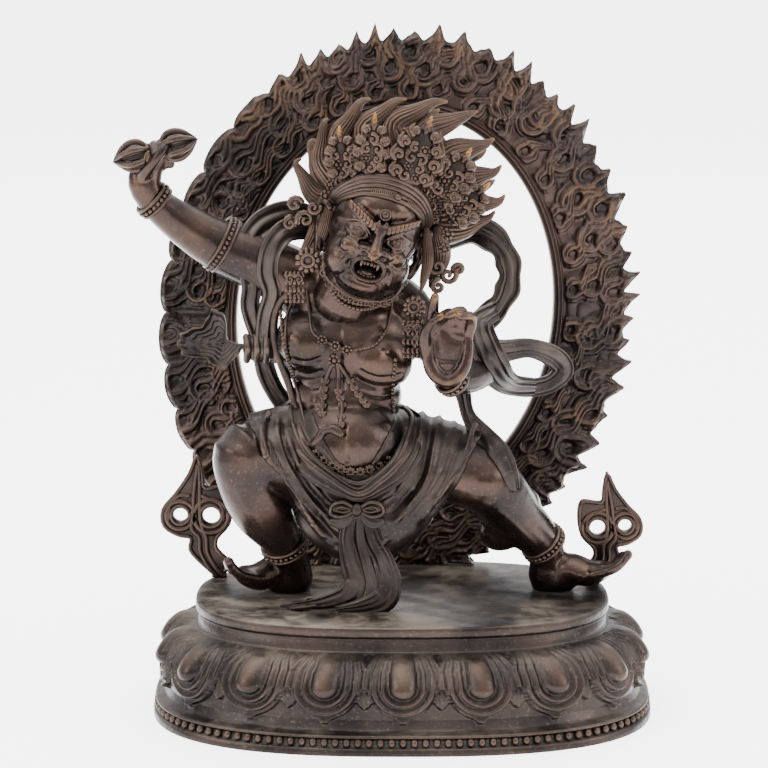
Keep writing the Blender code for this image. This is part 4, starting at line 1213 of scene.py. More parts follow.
def makeFaceDetails():
    bm = bmesh.new()
    for side in (-1, 1):
        # iris, eyelid crease, flaming brow, fang and teeth
        ring = [(side * 9.2 + p, -23.75, 3.2 + q, 0.3) for p, q in ringPoints(1.9, 15)]
        sweep(bm, ring, steps=1, sides=6)
        bead(bm, (side * 9.2, -23.6, 3.2), 0.8)
        sweep(
            bm,
            [
                (side * 4.0, -24.6, 3.4, 0.45), (side * 9.6, -24.7, 8.2, 0.5),
                (side * 16, -19.0, 6.2, 0.4)
            ],
            steps=4, sides=6
        )
        for k in range(8):
            t = k / 7
            x, y, z = side * (3.6 + 11.6 * t), -26.8 + 5.6 * t * t, 7.2 + 6.4 * t
            lean, rise = side * (0.3 + 1.0 * t), 2.6 - 1.0 * abs(t - 0.4)
            rows = [
                (x, y, z - 0.6, 1.2), (x + lean * 0.4, y - 0.3, z + rise * 0.45, 1.0),
                (x + lean * 1.2, y + 0.2, z + rise * 0.9, 0.35)
            ]
            sweep(bm, rows, steps=3, sides=7, gold=0.55)
        sweep(
            bm,
            [
                (side * 3.8, -25.0, -9.2, 0.9), (side * 3.9, -25.2, -10.8, 0.7),
                (side * 3.8, -24.8, -11.8, 0.3)
            ],
            steps=3, sides=7
        )
        for k in range(3):
            blob(bm, (side * (0.9 + 1.5 * k), -24.6 + 0.3 * k, -9.6 - 0.2 * k), (0.85, 0.9, 1.2), 0, 2)
            blob(bm, (side * (0.9 + 1.4 * k), -23.4 + 0.3 * k, -15.6 + 0.3 * k), (0.85, 0.9, 1.1), 0, 2)
    blob(bm, (0, -21.6, -14.2), (3.6, 3.6, 1.7), 0, 3)
    sweep(
        bm,
        [
            (0, -30.2, -1.2, 0.7, 0.5), (0, -31.8, -3.6, 1.6, 0.8), (0, -32.2, -4.9, 1.9, 1.0),
            (0, -31.4, -6.4, 1.4, 0.7)
        ],
        steps=3, sides=10, gold=0.5
    )
    blob(bm, (0, -24.8, 14), (1.9, 1.4, 1.9), 0, 3)
    ring = [(p, -24.6, 14 + q, 0.55) for p, q in ringPoints(2.3, 21)]
    sweep(bm, ring, steps=1, sides=6)
    # the fringe of small curls under the jaw
    fringe = smoothRows(
        [
            (-20, -8, -14), (-16.5, -14.5, -22.5), (-6, -21.5, -26.6), (4, -22, -27.0),
            (15.5, -15.5, -24), (20, -8, -15)
        ],
        4
    )
    sweep(bm, [(*f, 0.9) for f in fringe], steps=1, sides=7)
    for k, f in enumerate(fringe):
        curl(bm, (f[0], f[1] - 0.6, f[2] - 1.0), 1.55, 1.1, 40 * k, 0.5, 1 if k % 2 else -1)
    turnHead(bm)
    return finishPiece(bm, "faceDetails")


faceDetails = makeFaceDetails()
faceDetails.data.materials.append(finishes["ornament"])
print("head made")


# crown: a moulded band, five openwork leaves, and the curls behind it
crown = {"mouldings": 5, "curlSize": 2.9, "curlThickness": 1.3}


def bandPoint(a, level):
    # a point on the crown's band: a is the turn from the front, level 0 is its lower edge and 4 its upper one
    x = (20.6 + 0.75 * level) * math.sin(a)
    y = 1 - (22.6 - 0.55 * level) * math.cos(a)
    return x, y, 8 + 0.4 * level + (13.4 + 1.75 * level) * math.cos(a)


def leaf(bm, foot, tip, wide, seed):
    # a domed plate edged with scrolls and pointed petals, filled with curls and rosettes, with a bud on top
    foot, tip = Vector(foot), Vector(tip)
    line = tip - foot
    up, side, front = line.normalized(), Vector((line.z, 0, -line.x)).normalized(), Vector((0, -1, 0))
    back = [(0, 0.55), (0.25, 0.86), (0.55, 0.76), (0.8, 0.4), (1, 0.08)]
    sweep(bm, [(*foot.lerp(tip, t), wide * w, 2.2) for t, w in back], steps=4, sides=16)
    thick = crown["curlThickness"]
    for hand in (-1, 1):
        for k, (t, out, size) in enumerate(
            ((0.10, 0.66, 1.0), (0.34, 0.86, 1.05), (0.56, 0.74, 0.95), (0.76, 0.44, 0.8))
        ):
            reach = min(2.9, max(1.7, wide * 0.27)) * size
            centre = foot.lerp(tip, t) + side * hand * wide * out + front * 2.6
            curl(bm, centre, reach, 1.05, 90 - hand * (100 + 12 * k), thick * 1.1, hand)
            root = centre + side * hand * reach * 0.4 - up * reach * 0.9
            bulge = centre + side * hand * reach * 1.25 + up * reach * 0.1
            point = centre + side * hand * reach * 0.95 + up * reach * 1.55
            sweep(
                bm, [(*root, thick), (*bulge, thick * 1.35), (*point, 0.3)], steps=4, sides=7, gold=0.35
            )
    count = 0
    reach = crown["curlSize"]
    for row in range(int(line.length * 0.72 / (reach * 1.5))):
        t = 0.08 + row * reach * 1.5 / line.length
        span = wide * np.interp(t, [0, 0.25, 0.55, 0.85], [0.3, 0.5, 0.42, 0.12])
        across = max(1, int(2 * span / (reach * 1.7)) + 1)
        for k in range(across):
            shift = (k - (across - 1) / 2) * reach * 1.7
            spot = foot.lerp(tip, t) + side * shift + front * (2.7 - 0.04 * shift * shift)
            size = reach * (0.86 + 0.3 * jitter(seed + count))
            if (row + k) % 3 == 1:
                rosette(bm, spot, size, 6)
            else:
                curl(bm, spot, size, 1.0, 90 + 80 * jitter(seed + count), thick, 1 if shift < 0 else -1)
            count += 1
    for k, (t, size) in enumerate(((0.84, 1.7), (0.93, 1.5), (1.01, 1.0))):
        centre = foot.lerp(tip, t) + front * 2.2
        rows = [
            (*(centre - up * size), size * 0.8), (*centre, size),
            (*(centre + up * size * 1.4), size * 0.3)
        ]
        sweep(bm, rows, steps=3, sides=10, gold=(0.5, 0.9, 1.5)[k])


def makeCrown(look):
    bm = bmesh.new()
    turns = np.radians(np.linspace(-104, 104, 53))
    for level in range(look["mouldings"]):
        thick = (1.35, 0.85, 1.25, 1.5, 1.7)[level]
        band = [(*bandPoint(a, level + 0.2), thick) for a in turns]
        sweep(bm, band, steps=1, sides=8)
    backing = []
    for a in turns:
        low, high = np.array(bandPoint(a, 0)), np.array(bandPoint(a, 4))
        backing.append((*((low + high) / 2 + [0, 1.4, 0]), 4.6 * max(0.25, math.cos(a)) + 1.0, 1.6))
    sweep(bm, backing, facing=(0, -1, 0.35), steps=1, sides=10)
    for first, last, level in ((-24, 6, 1.1), (24, 64, 1.1)):
        for a in np.radians(np.arange(first, last, 2.4)):
            low, high = bandPoint(a, level - 0.5), bandPoint(a, level + 0.55)
            sweep(
                bm, [(low[0], low[1] - 1.0, low[2], 0.4), (high[0], high[1] - 1.0, high[2], 0.4)],
                steps=1, sides=5
            )
    x, y, z = bandPoint(math.radians(9), 0.9)
    bead(bm, (x, y - 1.2, z), 1.8)
    turnHead(bm)
    for foot, tip, wide, seed in (
        ((-27.5, -25, 203), (-29.0, -24, 225), 5.6, 1),
        ((-15.0, -30, 206), (-12.8, -29, 231.5), 6.4, 21),
        ((2.5, -31, 202), (12.5, -30, 230), 9.6, 41),
        ((17.5, -26, 195), (30.5, -23, 215), 7.6, 61),
        ((22.5, -18, 184), (39, -14, 198), 6.8, 81),
    ):
        leaf(bm, foot, tip, wide, seed)
    # small curls and rosettes that fill the space between the band and the hair
    for k in range(46):
        a = math.radians(-78 + 158 * (k % 23) / 22)
        x, y, z = bandPoint(a, 4.6 + 1.9 * (k // 23))
        spot = headTurn @ Vector((x * 1.04, y * 0.86 + 2, z + 1.2))
        if jitter(k) > 0:
            curl(bm, spot, 2.4, 1.1, 360 * jitter(k + 3), 1.0, 1 if k % 2 else -1)
        else:
            rosette(bm, spot, 2.3, 6)
    for spot in (
        (-35.5, -16, 193), (-37.5, -14, 187), (20.5, -18, 176), (23.5, -15, 182), (19.0, -20, 169)
    ):
        rosette(bm, spot, 3.0, 7)
    return finishPiece(bm, "crown")


crownPiece = makeCrown(crown)
crownPiece.data.materials.append(finishes["ornament"])
print("crown made")


# flaming hair: locks of fine strands with upturned tips, and the hair beside the face
hair = {"strandsPerLock": 9, "plump": 2.1}


def makeHair(look):
    bm = bmesh.new()
    blob(bm, (-2, 2, 192), (28, 13, 28), 21)
    locks = (
        # root, middle and tip, half width at the root, and how far the tip hooks over
        ((-30, -4, 186), (-42, -6, 194), (-49.6, -7, 207), 6.0, (2.4, 2.2)),
        ((-26, -6, 194), (-37.5, -8, 209), (-36.5, -9, 226), 6.5, (1.8, 2.0)),
        ((-20, -6, 202), (-29.5, -8, 219), (-19.5, -9, 235.5), 7.5, (4.5, 1.6)),
        ((-10, -6, 208), (-17, -8, 224), (-3.5, -9, 236), 8.0, (5.0, 1.0)),
        ((0, -6, 210), (-3, -8, 226), (14.5, -8, 235.5), 8.0, (6.0, 0.2)),
        ((8, -5, 208), (13, -7, 223), (29.5, -7, 229.5), 8.5, (5.0, 1.8)),
        ((14, -4, 202), (25, -5, 212), (38.5, -5, 216.0), 8.5, (3.8, 2.4)),
        ((18, -2, 196), (31, -3, 200), (42.6, -4, 202.8), 8.0, (3.2, 3.0)),
        ((18, -2, 186), (31, -3, 187), (44.5, -4, 188.8), 8.0, (3.0, 3.0)),
        ((16, -1, 176), (29, -1, 177), (40, -2, 181), 7.0, (3.0, 3.0)),
        ((-14, 4, 204), (-23, 4, 218), (-13, 3, 230), 8, (3, 2)),
        ((4, 5, 206), (3, 5, 222), (14, 4, 229), 8, (3, 2)),
        ((14, 6, 198), (24, 7, 207), (36, 5, 210), 8, (3, 2)),
        ((16, 6, 184), (28, 6, 191), (40, 4, 196), 7.5, (3, 2)),
        ((-26, 5, 190), (-38, 5, 202), (-43, 4, 215), 7, (2, 2)),
    )
    for k, (root, middle, tip, wide, hook) in enumerate(locks):
        a, b, c = Vector(root), Vector(middle), Vector(tip)
        end = c + Vector((hook[0], 0.5, hook[1]))
        rows = [
            (*a, wide, 5), (*a.lerp(b, 0.5), wide * 0.96, 4.8), (*b, wide * 0.70, 4),
            (*b.lerp(c, 0.55), wide * 0.42, 2.8), (*c, wide * 0.22, 1.8), (*end, 0.5, 0.5)
        ]
        strands(
            bm, rows, look["strandsPerLock"], steps=4, sides=5, twist=0.22 * (-1) ** k,
            plump=look["plump"], gold=0.22
        )
    # fine strands that leave the temples and run down behind the earrings
    for top, middle, low, wide in (
        ((-33, -16, 193), (-36.5, -17, 178), (-43, -14, 160), 2.2),
        ((-36, -10, 193), (-40, -11, 176), (-48, -8, 160), 3.0),
        ((11, -14, 178), (11.5, -17, 163), (8.5, -21, 150), 2.0),
        ((16, -10, 178), (18, -9, 164), (13, -13, 150), 3.2),
    ):
        a, b, c = Vector(top), Vector(middle), Vector(low)
        rows = [
            (*a, wide * 0.5, 1.2), (*a.lerp(b, 0.4), wide, 1.7), (*b, wide * 1.2, 1.8),
            (*b.lerp(c, 0.6), wide * 0.9, 1.6), (*c, wide * 0.35, 0.9)
        ]
        strands(bm, rows, 9, steps=4, sides=5, twist=0.5, plump=look["plump"])
    return finishPiece(bm, "hair")


hairPiece = makeHair(hair)
hairPiece.data.materials.append(finishes["hair"])
print("hair made")


# skirt, with its folds carved along drawn lines
skirt = {"voxel": 1.0, "soften": 4, "hem": 1.7, "cling": 1.6, "clingReach": 12.0}
skirtLines = [
    # points, width and height: the ridges of the folds, with a groove beside each
    ([(-66, 92), (-63.3, 77), (-54.7, 58), (-43.1, 43.7), (-31.5, 30.3)], 1.5, 1.95),
    ([(-62.5, 92), (-60, 77), (-51, 59), (-40, 45), (-29, 32)], 1.2, -1.8),
    ([(-59.1, 93.5), (-55.9, 77), (-46.3, 58.9), (-36.1, 46.1), (-26.9, 34.1)], 1.4, 1.8),
    ([(-56.5, 90), (-52, 74), (-43, 58), (-33, 45)], 1.1, -1.65),
    ([(-54, 84), (-47.6, 67.9), (-37.5, 55.1), (-29.1, 46)], 1.4, 1.5),
    ([(18.5, 92), (15, 76.6), (11.6, 62.3), (3.5, 50.4), (-5, 41)], 1.4, 1.8),
    ([(14.5, 92), (11.3, 77), (8, 64), (0, 52.5), (-8, 45)], 1.2, -1.65),
    ([(10.2, 94.9), (8, 79.4), (4.3, 67.5), (-3.6, 55.6), (-11.5, 50.8)], 1.4, 1.65),
    ([(26, 90), (22, 78), (17, 64), (9, 52), (1, 42)], 1.2, 1.05),
    ([(30, 86), (25, 76), (20, 64), (14, 54)], 0.9, -0.9),
    ([(-70, 86), (-66, 74), (-58, 60)], 1.0, -0.9),
    ([(-34, 42), (-22, 38), (-10, 42)], 1.6, 0.75),
    ([(-38, 36), (-26, 29), (-14, 31)], 1.3, -0.9),
    ([(-6, 36), (-12, 28), (-17, 22)], 1.2, 0.9),
]


def clothTube(bm, rows, wave=0.35, sides=72, steps=6):
    # rows are x, y, z, half height, half depth and the rim's lean
    run = smoothRows(rows, steps)
    turn = np.linspace(0, math.tau, sides, endpoint=False)
    stations = [(0.02, run[0], 0.0), (0.6, run[0], 0.0)]
    stations += [(1.0, row, t) for row, t in zip(run, np.linspace(0, 1, len(run)))]
    stations += [(0.95, run[-1], 1.0), (0.5, run[-1], 1.0), (0.02, run[-1], 1.0)]
    coords = []
    for scale, (x, y, z, tall, deep, lean), t in stations:
        ripple = wave * t * np.sin(15 * turn + 2 * t)
        up, back = (tall + ripple) * np.cos(turn) * scale, (deep + ripple) * np.sin(turn) * scale
        a = math.radians(lean)
        coords.append(np.column_stack([x + up * math.sin(a), y + back, z + up * math.cos(a)]))
    rollGrid(bm, np.array(coords))


def cling(mesh, gap, reach):
    # brings the cloth over the skin wherever the skin would show through it
    places, normals = readMesh(mesh)
    for k in np.nonzero(normals[:, 1] < -0.2)[0]:
        x, y, z = places[k]
        front = onSkin(x, z, gap, 99)[1]
        if front < y < front + reach:
            places[k, 1] = front
    writeMesh(mesh, places)


def makeSkirt(look):
    bm = bmesh.new()
    clothTube(
        bm, [(-25, -2, 66, 26, 22, -8), (-42, -11, 64, 32, 22.5, -24), (-53, -18, 60, 36.5, 21.5, -33)]
    )
    clothTube(
        bm,
        [
            (-16, -2, 66, 26, 22, 8), (2, -8, 61, 29, 22.5, 24), (14, -13, 57.5, 31.5, 21.5, 34),
            (20.5, -16, 58, 32.5, 20.5, 35)
        ]
    )
    blob(bm, (-20.5, 2, 63), (20, 21, 25))
    apron = [
        (-44, -24, 46, 9, 6), (-34, -27, 41, 14, 7.5), (-18, -25, 38, 18.5, 8), (-3, -26, 42, 14, 7.5),
        (9, -23, 47, 9, 6)
    ]
    sweep(bm, apron, steps=6, sides=32)
    rightHem = [
        (34, 88), (32.5, 84.6), (28, 69.4), (20, 53.7), (10.4, 41.5), (0, 33.1), (-6, 26.6), (-14, 21),
        (-19, 18.5)
    ]
    leftHem = [
        (-62, 93), (-64, 88), (-60.5, 80), (-56, 70.5), (-52.6, 61.3), (-45.4, 48), (-35.1, 36),
        (-25.6, 27), (-19, 18.5)
    ]
    mesh = fuse(bm, "skirt", look["voxel"], look["soften"])
    cling(mesh, look["cling"], look["clingReach"])
    hems = bmesh.new()
    hems.from_mesh(mesh)
    bmesh.ops.translate(hems, vec=(0, 0, -plateTop), verts=hems.verts)
    bmesh.ops.scale(hems, vec=(1 / mm, 1 / mm, 1 / mm), verts=hems.verts)
    for hem in (rightHem, leftHem):
        sweep(hems, drape(hem, 1.2, look["hem"], 1.5, -25), steps=1, sides=10)
    mesh = fuse(hems, "skirt", look["voxel"], 2)
    carve(mesh, skirtLines, facing=-0.1)
    return placePiece(mesh, "skirt", ())


# cloth round the waist, its bow and the long pleated ribbon
waist = {"foldDepth": 0.85}


def makeWaistCloth(look):
    bm = bmesh.new()
    depth = look["foldDepth"]
    roll = [
        (-50, 0, 92), (-54, -14, 88), (-52, -28, 80), (-45.8, -35, 72), (-35, -38.5, 64),
        (-21, -40, 57.5)
    ]
    roll += [(-10.2, -38.5, 62.5), (-1.2, -34, 69), (4, -27, 76.5), (6, -14, 84), (1.5, 1, 87)]
    wide = [4.0, 5.2, 6.0, 5.8, 5.0, 3.6, 5.0, 5.8, 6.0, 5.2, 4.0]
    sweep(
        bm, [(*r, w, 2.0) for r, w in zip(roll, wide)], steps=9, sides=44, folds=3, depth=depth,
        drift=0.9
    )
    behind = [
        (-50, 0, 91, 4.6, 2.2), (-43, 15, 90, 5.4, 2.4), (-23, 22.5, 88, 6, 2.4),
        (-5, 15, 86.5, 5.4, 2.4), (1.5, 1, 86.5, 4.6, 2.2)
    ]
    sweep(bm, behind, facing=(0, 1, 0.2), steps=6, sides=30, folds=3, depth=depth)
    for shift, thick, lift in ((1.0, 1.7, 1.6), (-2.8, 1.3, 0.8), (4.6, 1.2, 0.2)):
        path = []
        for k, (x, y, z) in enumerate(roll):
            bend = shift + 0.9 * math.sin(k * 1.9 + shift)
            path.append(
                (x * (1 - bend / 90) - bend * 0.25, y - lift, z + bend * 0.9, thick, thick * 0.9)
            )
        sweep(bm, path, steps=9, sides=10)
    # bow
    knot = -21.3
    for side in (-1, 1):
        loop = [
            (knot + side * 1.5, -41, 51), (knot + side * 6, -42, 54), (knot + side * 11, -41, 52.6),
            (knot + side * 12, -40.5, 48.4), (knot + side * 7, -42, 47), (knot + side * 1.5, -41, 49.4)
        ]
        sweep(bm, [(*p, 1.0, 1.5) for p in loop], steps=6, sides=10)
        inner = [
            (knot + side * 3, -41.4, 50.6), (knot + side * 7, -42, 51.8),
            (knot + side * 9.6, -41.4, 50.4), (knot + side * 6.5, -42, 49.2),
            (knot + side * 3, -41.4, 50)
        ]
        sweep(bm, [(*p, 0.6, 0.9) for p in inner], steps=6, sides=8)
        blob(bm, (knot + side * 7, -39.6, 50.2), (6.2, 1.6, 3.6), side * -8, 3)
        tab = [
            (knot + side * 2, -39.5, 47.5, 1.8, 1.2), (knot + side * 7, -39.5, 43.5, 2.8, 1.2),
            (knot + side * 12, -38, 43.8, 1.6, 1.0)
        ]
        sweep(bm, tab, steps=4, sides=20, folds=2, depth=0.35)
    blob(bm, (knot, -42, 50.2), (2.5, 2.2, 3.2))
    # the ribbon's two pleated falls, and its tails on the plate
    left = [
        (-23, -39, 48, 3.4, 1.8), (-25.5, -34, 36, 4.4, 1.8), (-24, -30.5, 24.5, 5.6, 1.8),
        (-21.5, -29, 14, 6.6, 1.8), (-25, -30, 5.5, 7.0, 1.6), (-36, -31.5, 2.4, 4.6, 1.3),
        (-47, -32, 1.7, 2.6, 1.0), (-57, -30, 1.2, 0.6, 0.6)
    ]
    right = [
        (-17, -38, 47, 3.6, 1.8), (-13.8, -32.5, 34, 4.4, 1.8), (-9.6, -29.5, 24.5, 5, 1.8),
        (-6.8, -29.5, 14, 6, 1.8), (-9, -31.5, 5.2, 6.6, 1.6), (-18, -34, 2.0, 4.6, 1.3),
        (-30, -37, 1.4, 2.0, 0.8)
    ]
    middle = [
        (-20, -40, 48, 1.6, 1.4), (-19.4, -35, 34, 2.2, 1.5), (-16.8, -31.5, 22, 2.6, 1.5),
        (-14.6, -31, 12, 3.0, 1.5), (-17, -32.5, 4.5, 3, 1.3), (-26, -33.5, 2.2, 1.4, 1)
    ]
    sweep(bm, left, steps=8, sides=40, folds=4, depth=depth)
    sweep(bm, right, steps=8, sides=40, folds=4, depth=depth, drift=0.8)
    sweep(bm, middle, steps=8, sides=20, folds=2, depth=0.6)
    for rows in (
        [(-31, -30, 1.8, 2.4, 1.1), (-42, -27, 1.6, 3.2, 1.1), (-52, -25, 1.3, 1.2, 0.7)],
        [(-38, -30, 2.0, 1.2, 1.2), (-46, -34, 2.0, 2.2, 1.2), (-52, -35, 1.5, 1.0, 0.7)],
    ):
        sweep(bm, rows, facing=(0, 0, 1), steps=6, sides=16, folds=2, depth=0.4)
    curl(bm, (-44, -30, 2.6), 3.2, 1.2, 0, 0.8, 1, facing=(0, 0, 1))
    return finishPiece(bm, "waistCloth")


skirtPiece = makeSkirt(skirt)
waistCloth = makeWaistCloth(waist)
for piece in (skirtPiece, waistCloth):
    piece.data.materials.append(finishes["cloth"])
print("skirt made")


# scarf: folded bands from the shoulders, the left one with a knot and a ruffled end
scarfFolds = {"depth": 1.3, "rim": 0.8, "flareMiddle": (-84.5, 121.8)}


def makeScarf(look):
    bm = bmesh.new()
    bands = (
        # the left shoulder, outer and inner fall, and the end below the knot
        (
            [
                (-38, 8, 178, 5, 1.6), (-52, 5, 181.5, 7, 1.6), (-64, 0, 179, 6.5, 1.6),
                (-71, -6, 172, 5.6, 1.5), (-72.3, -9, 162, 5.0, 1.4), (-70.5, -8, 150, 4.8, 1.4),
                (-71.5, -5, 140, 4.6, 1.4), (-69, -3, 130, 4.6, 1.5), (-66, -2, 121, 4, 1.8)
            ],
            2
        ),
        (
            [
                (-44, -2, 176, 5, 1.6), (-54, -9, 176, 5.6, 1.6), (-61, -13, 168, 5.2, 1.5),
                (-63, -13, 157, 5.0, 1.4), (-61, -11, 147, 4.4, 1.3), (-64, -8, 136, 4.2, 1.3),
                (-65.5, -4, 124, 4.0, 1.6)
            ],
            2
        ),
        (
            [
                (-66, -1, 119, 4.4, 1.8), (-64.5, 1, 108, 4.8, 1.5), (-60, 3, 97, 4.6, 1.5),
                (-52, 3, 86, 5, 1.6)
            ],
            2
        ),
        # the right shoulder's ring, the loop beside the arm and the fall onto the thigh
        (
            [
                (2, 12, 166, 8, 1.6), (20, 14, 171.5, 8.6, 1.6), (33, 14, 173.5, 7.2, 1.5),
                (42.5, 11, 169.5, 7.2, 1.5), (47.5, 9.5, 164, 5.4, 1.5), (50, 8, 158, 6.4, 1.5),
                (50.6, 6.5, 152, 5.1, 1.5), (49.4, 5, 146, 6.4, 1.5), (46.5, 3, 140.5, 5.1, 1.5),
                (42, 1, 135.5, 6.3, 1.5), (32, -6, 127, 6, 1.6)
            ],
            3
        ),
        (
            [
                (31, -7, 122, 7, 1.6), (45, 0, 117.5, 5.6, 1.5), (60, 8, 117.5, 4.6, 1.3),
                (72, 15, 112, 5.4, 1.3), (77, 19, 104.5, 5.0, 1.2), (70, 16, 98.5, 4.4, 1.3),
                (58, 10, 98.0, 4.6, 1.4), (46, 2, 103, 5, 1.5), (35, -7, 113, 6, 1.6)
            ],
            2
        ),
        (
            [
                (43, -1, 136, 5.2, 1.5), (36, -17, 133, 6.2, 1.6), (38, -26.5, 124.5, 7.2, 1.6),
                (42, -27, 116, 7.4, 1.6), (46.5, -18, 107.5, 6.4, 1.5), (53, -4, 101.5, 5, 1.4),
                (62, 9, 98.4, 4.2, 1.3)
            ],
            4
        ),
        (
            [
                (27, -20, 108, 6, 1.8), (28.5, -16, 99, 3.6, 1.5), (31, -14, 89, 3.4, 1.4),
                (37, -18, 81, 5.2, 1.4), (43, -25.5, 73, 7.4, 1.5), (47, -28, 64, 7.0, 1.4),
                (50, -27, 56, 5, 1.2)
            ],
            2
        ),
    )
    for k, (rows, folds) in enumerate(bands):
        sweep(
            bm, rows, steps=6, sides=36 if folds == 2 else 60, folds=folds, depth=look["depth"],
            rim=look["rim"], drift=0.5 + 0.2 * (k % 3)
        )
    flare = [
        (-73.5, 121.7), (-81.8, 124.1), (-83.1, 134.5), (-89.1, 138.3), (-93.4, 131.2), (-101.9, 127.9),
        (-105.2, 122.7), (-102, 116.9), (-92.7, 115.5), (-84.7, 110.7), (-76.6, 117.9)
    ]
    border = smoothRows([*flare, flare[0]], 9)[:-1]
    middle = np.array(look["flareMiddle"])
    front, back = [], []
    for t in np.linspace(0.04, 1, 26):
        ripple = 1 + 0.035 * t * np.sin(np.arange(len(border)) * 0.9 + 9 * t)
        flat = middle + (border - middle) * t * ripple[:, None]
        deep = -3.6 - 5.2 * t**1.5 - 0.3 * math.cos(math.tau * 5.5 * t) - 1.2 * max(0.0, t - 0.9) / 0.1
        front.append(np.column_stack([flat[:, 0], np.full(len(flat), deep), flat[:, 1]]))
        back.append(np.column_stack([flat[:, 0], np.full(len(flat), -0.6 - 5.0 * t**1.5), flat[:, 1]]))
    rollGrid(bm, np.array([*front, *back[::-1]]))
    for k in range(4):
        x = -73.5 + 4.6 * k
        sweep(
            bm,
            [(x, -5, 125.5, 1.6, 1.3), (x + 0.8, -8.0, 120, 1.9, 1.5), (x + 0.2, -5, 113.5, 1.6, 1.3)],
            steps=5, sides=10
        )
    blob(bm, (-66.5, -3, 119.5), (9, 5, 7))
    return finishPiece(bm, "scarf")


scarf = makeScarf(scarfFolds)
scarf.data.materials.append(finishes["scarf"])
print("scarf made")


# sceptre, jewellery and the snake
def makeSceptre():
    bm = bmesh.new()
    start, end = Vector((-133.4, -16, 208.8)), Vector((-94.6, -16, 219.4))
    axis = (end - start).normalized()
    up = Vector((-axis.z, 0, axis.x))
    out = Vector((0, -1, 0))
    core = [
        (start.lerp(end, t), r) for t,
        r in (
            (0, 0.5), (0.08, 1.2), (0.2, 1.8), (0.36, 2.2), (0.42, 3.2), (0.5, 2.4), (0.58, 3.2),
            (0.64, 2.2), (0.8, 1.8), (0.92, 1.2), (1, 0.5)
        )
    ]
    sweep(bm, [(*p, r) for p, r in core], steps=3, sides=12)
    for base, tip in ((0.42, 0.0), (0.58, 1.0)):
        for k in range(6):
            turn = math.tau * k / 6
            radial = up * math.cos(turn) + out * math.sin(turn)
            rows = []
            for t, reach, thick in (
                (0.0, 2.6, 1.2), (0.2, 5.8, 1.5), (0.45, 6.4, 1.6), (0.7, 4.8, 1.4), (0.88, 2.2, 1.1),
                (1.0, 0.8, 0.5)
            ):
                spot = start.lerp(end, base + (tip - base) * t * 0.96) + radial * reach
                rows.append((*spot, thick))
            sweep(bm, rows, facing=tuple(radial), steps=3, sides=8)
        lotus = start.lerp(end, base)
        for k in range(8):
            turn = math.tau * k / 8
            radial = up * math.cos(turn) + out * math.sin(turn)
            bead(bm, lotus + radial * 3.2, 1.3)
    return finishPiece(bm, "sceptre")


def ringAround(bm, centre, along, radius, thick, count=0, flat=1.0):
    # a bangle, or a row of beads, round a limb
    along = Vector(along).normalized()
    side = along.cross(Vector((0, 1, 0.01))).normalized()
    up = along.cross(side)
    spots = []
    for a in np.linspace(0, math.tau, (count or 28) + 1):
        spots.append(Vector(centre) + side * radius * math.cos(a) + up * radius * flat * math.sin(a))
    if count:
        for spot in spots[:-1]:
            bead(bm, spot, thick)
    else:
        sweep(bm, [(*s, thick) for s in spots], facing=tuple(along), steps=1, sides=8)


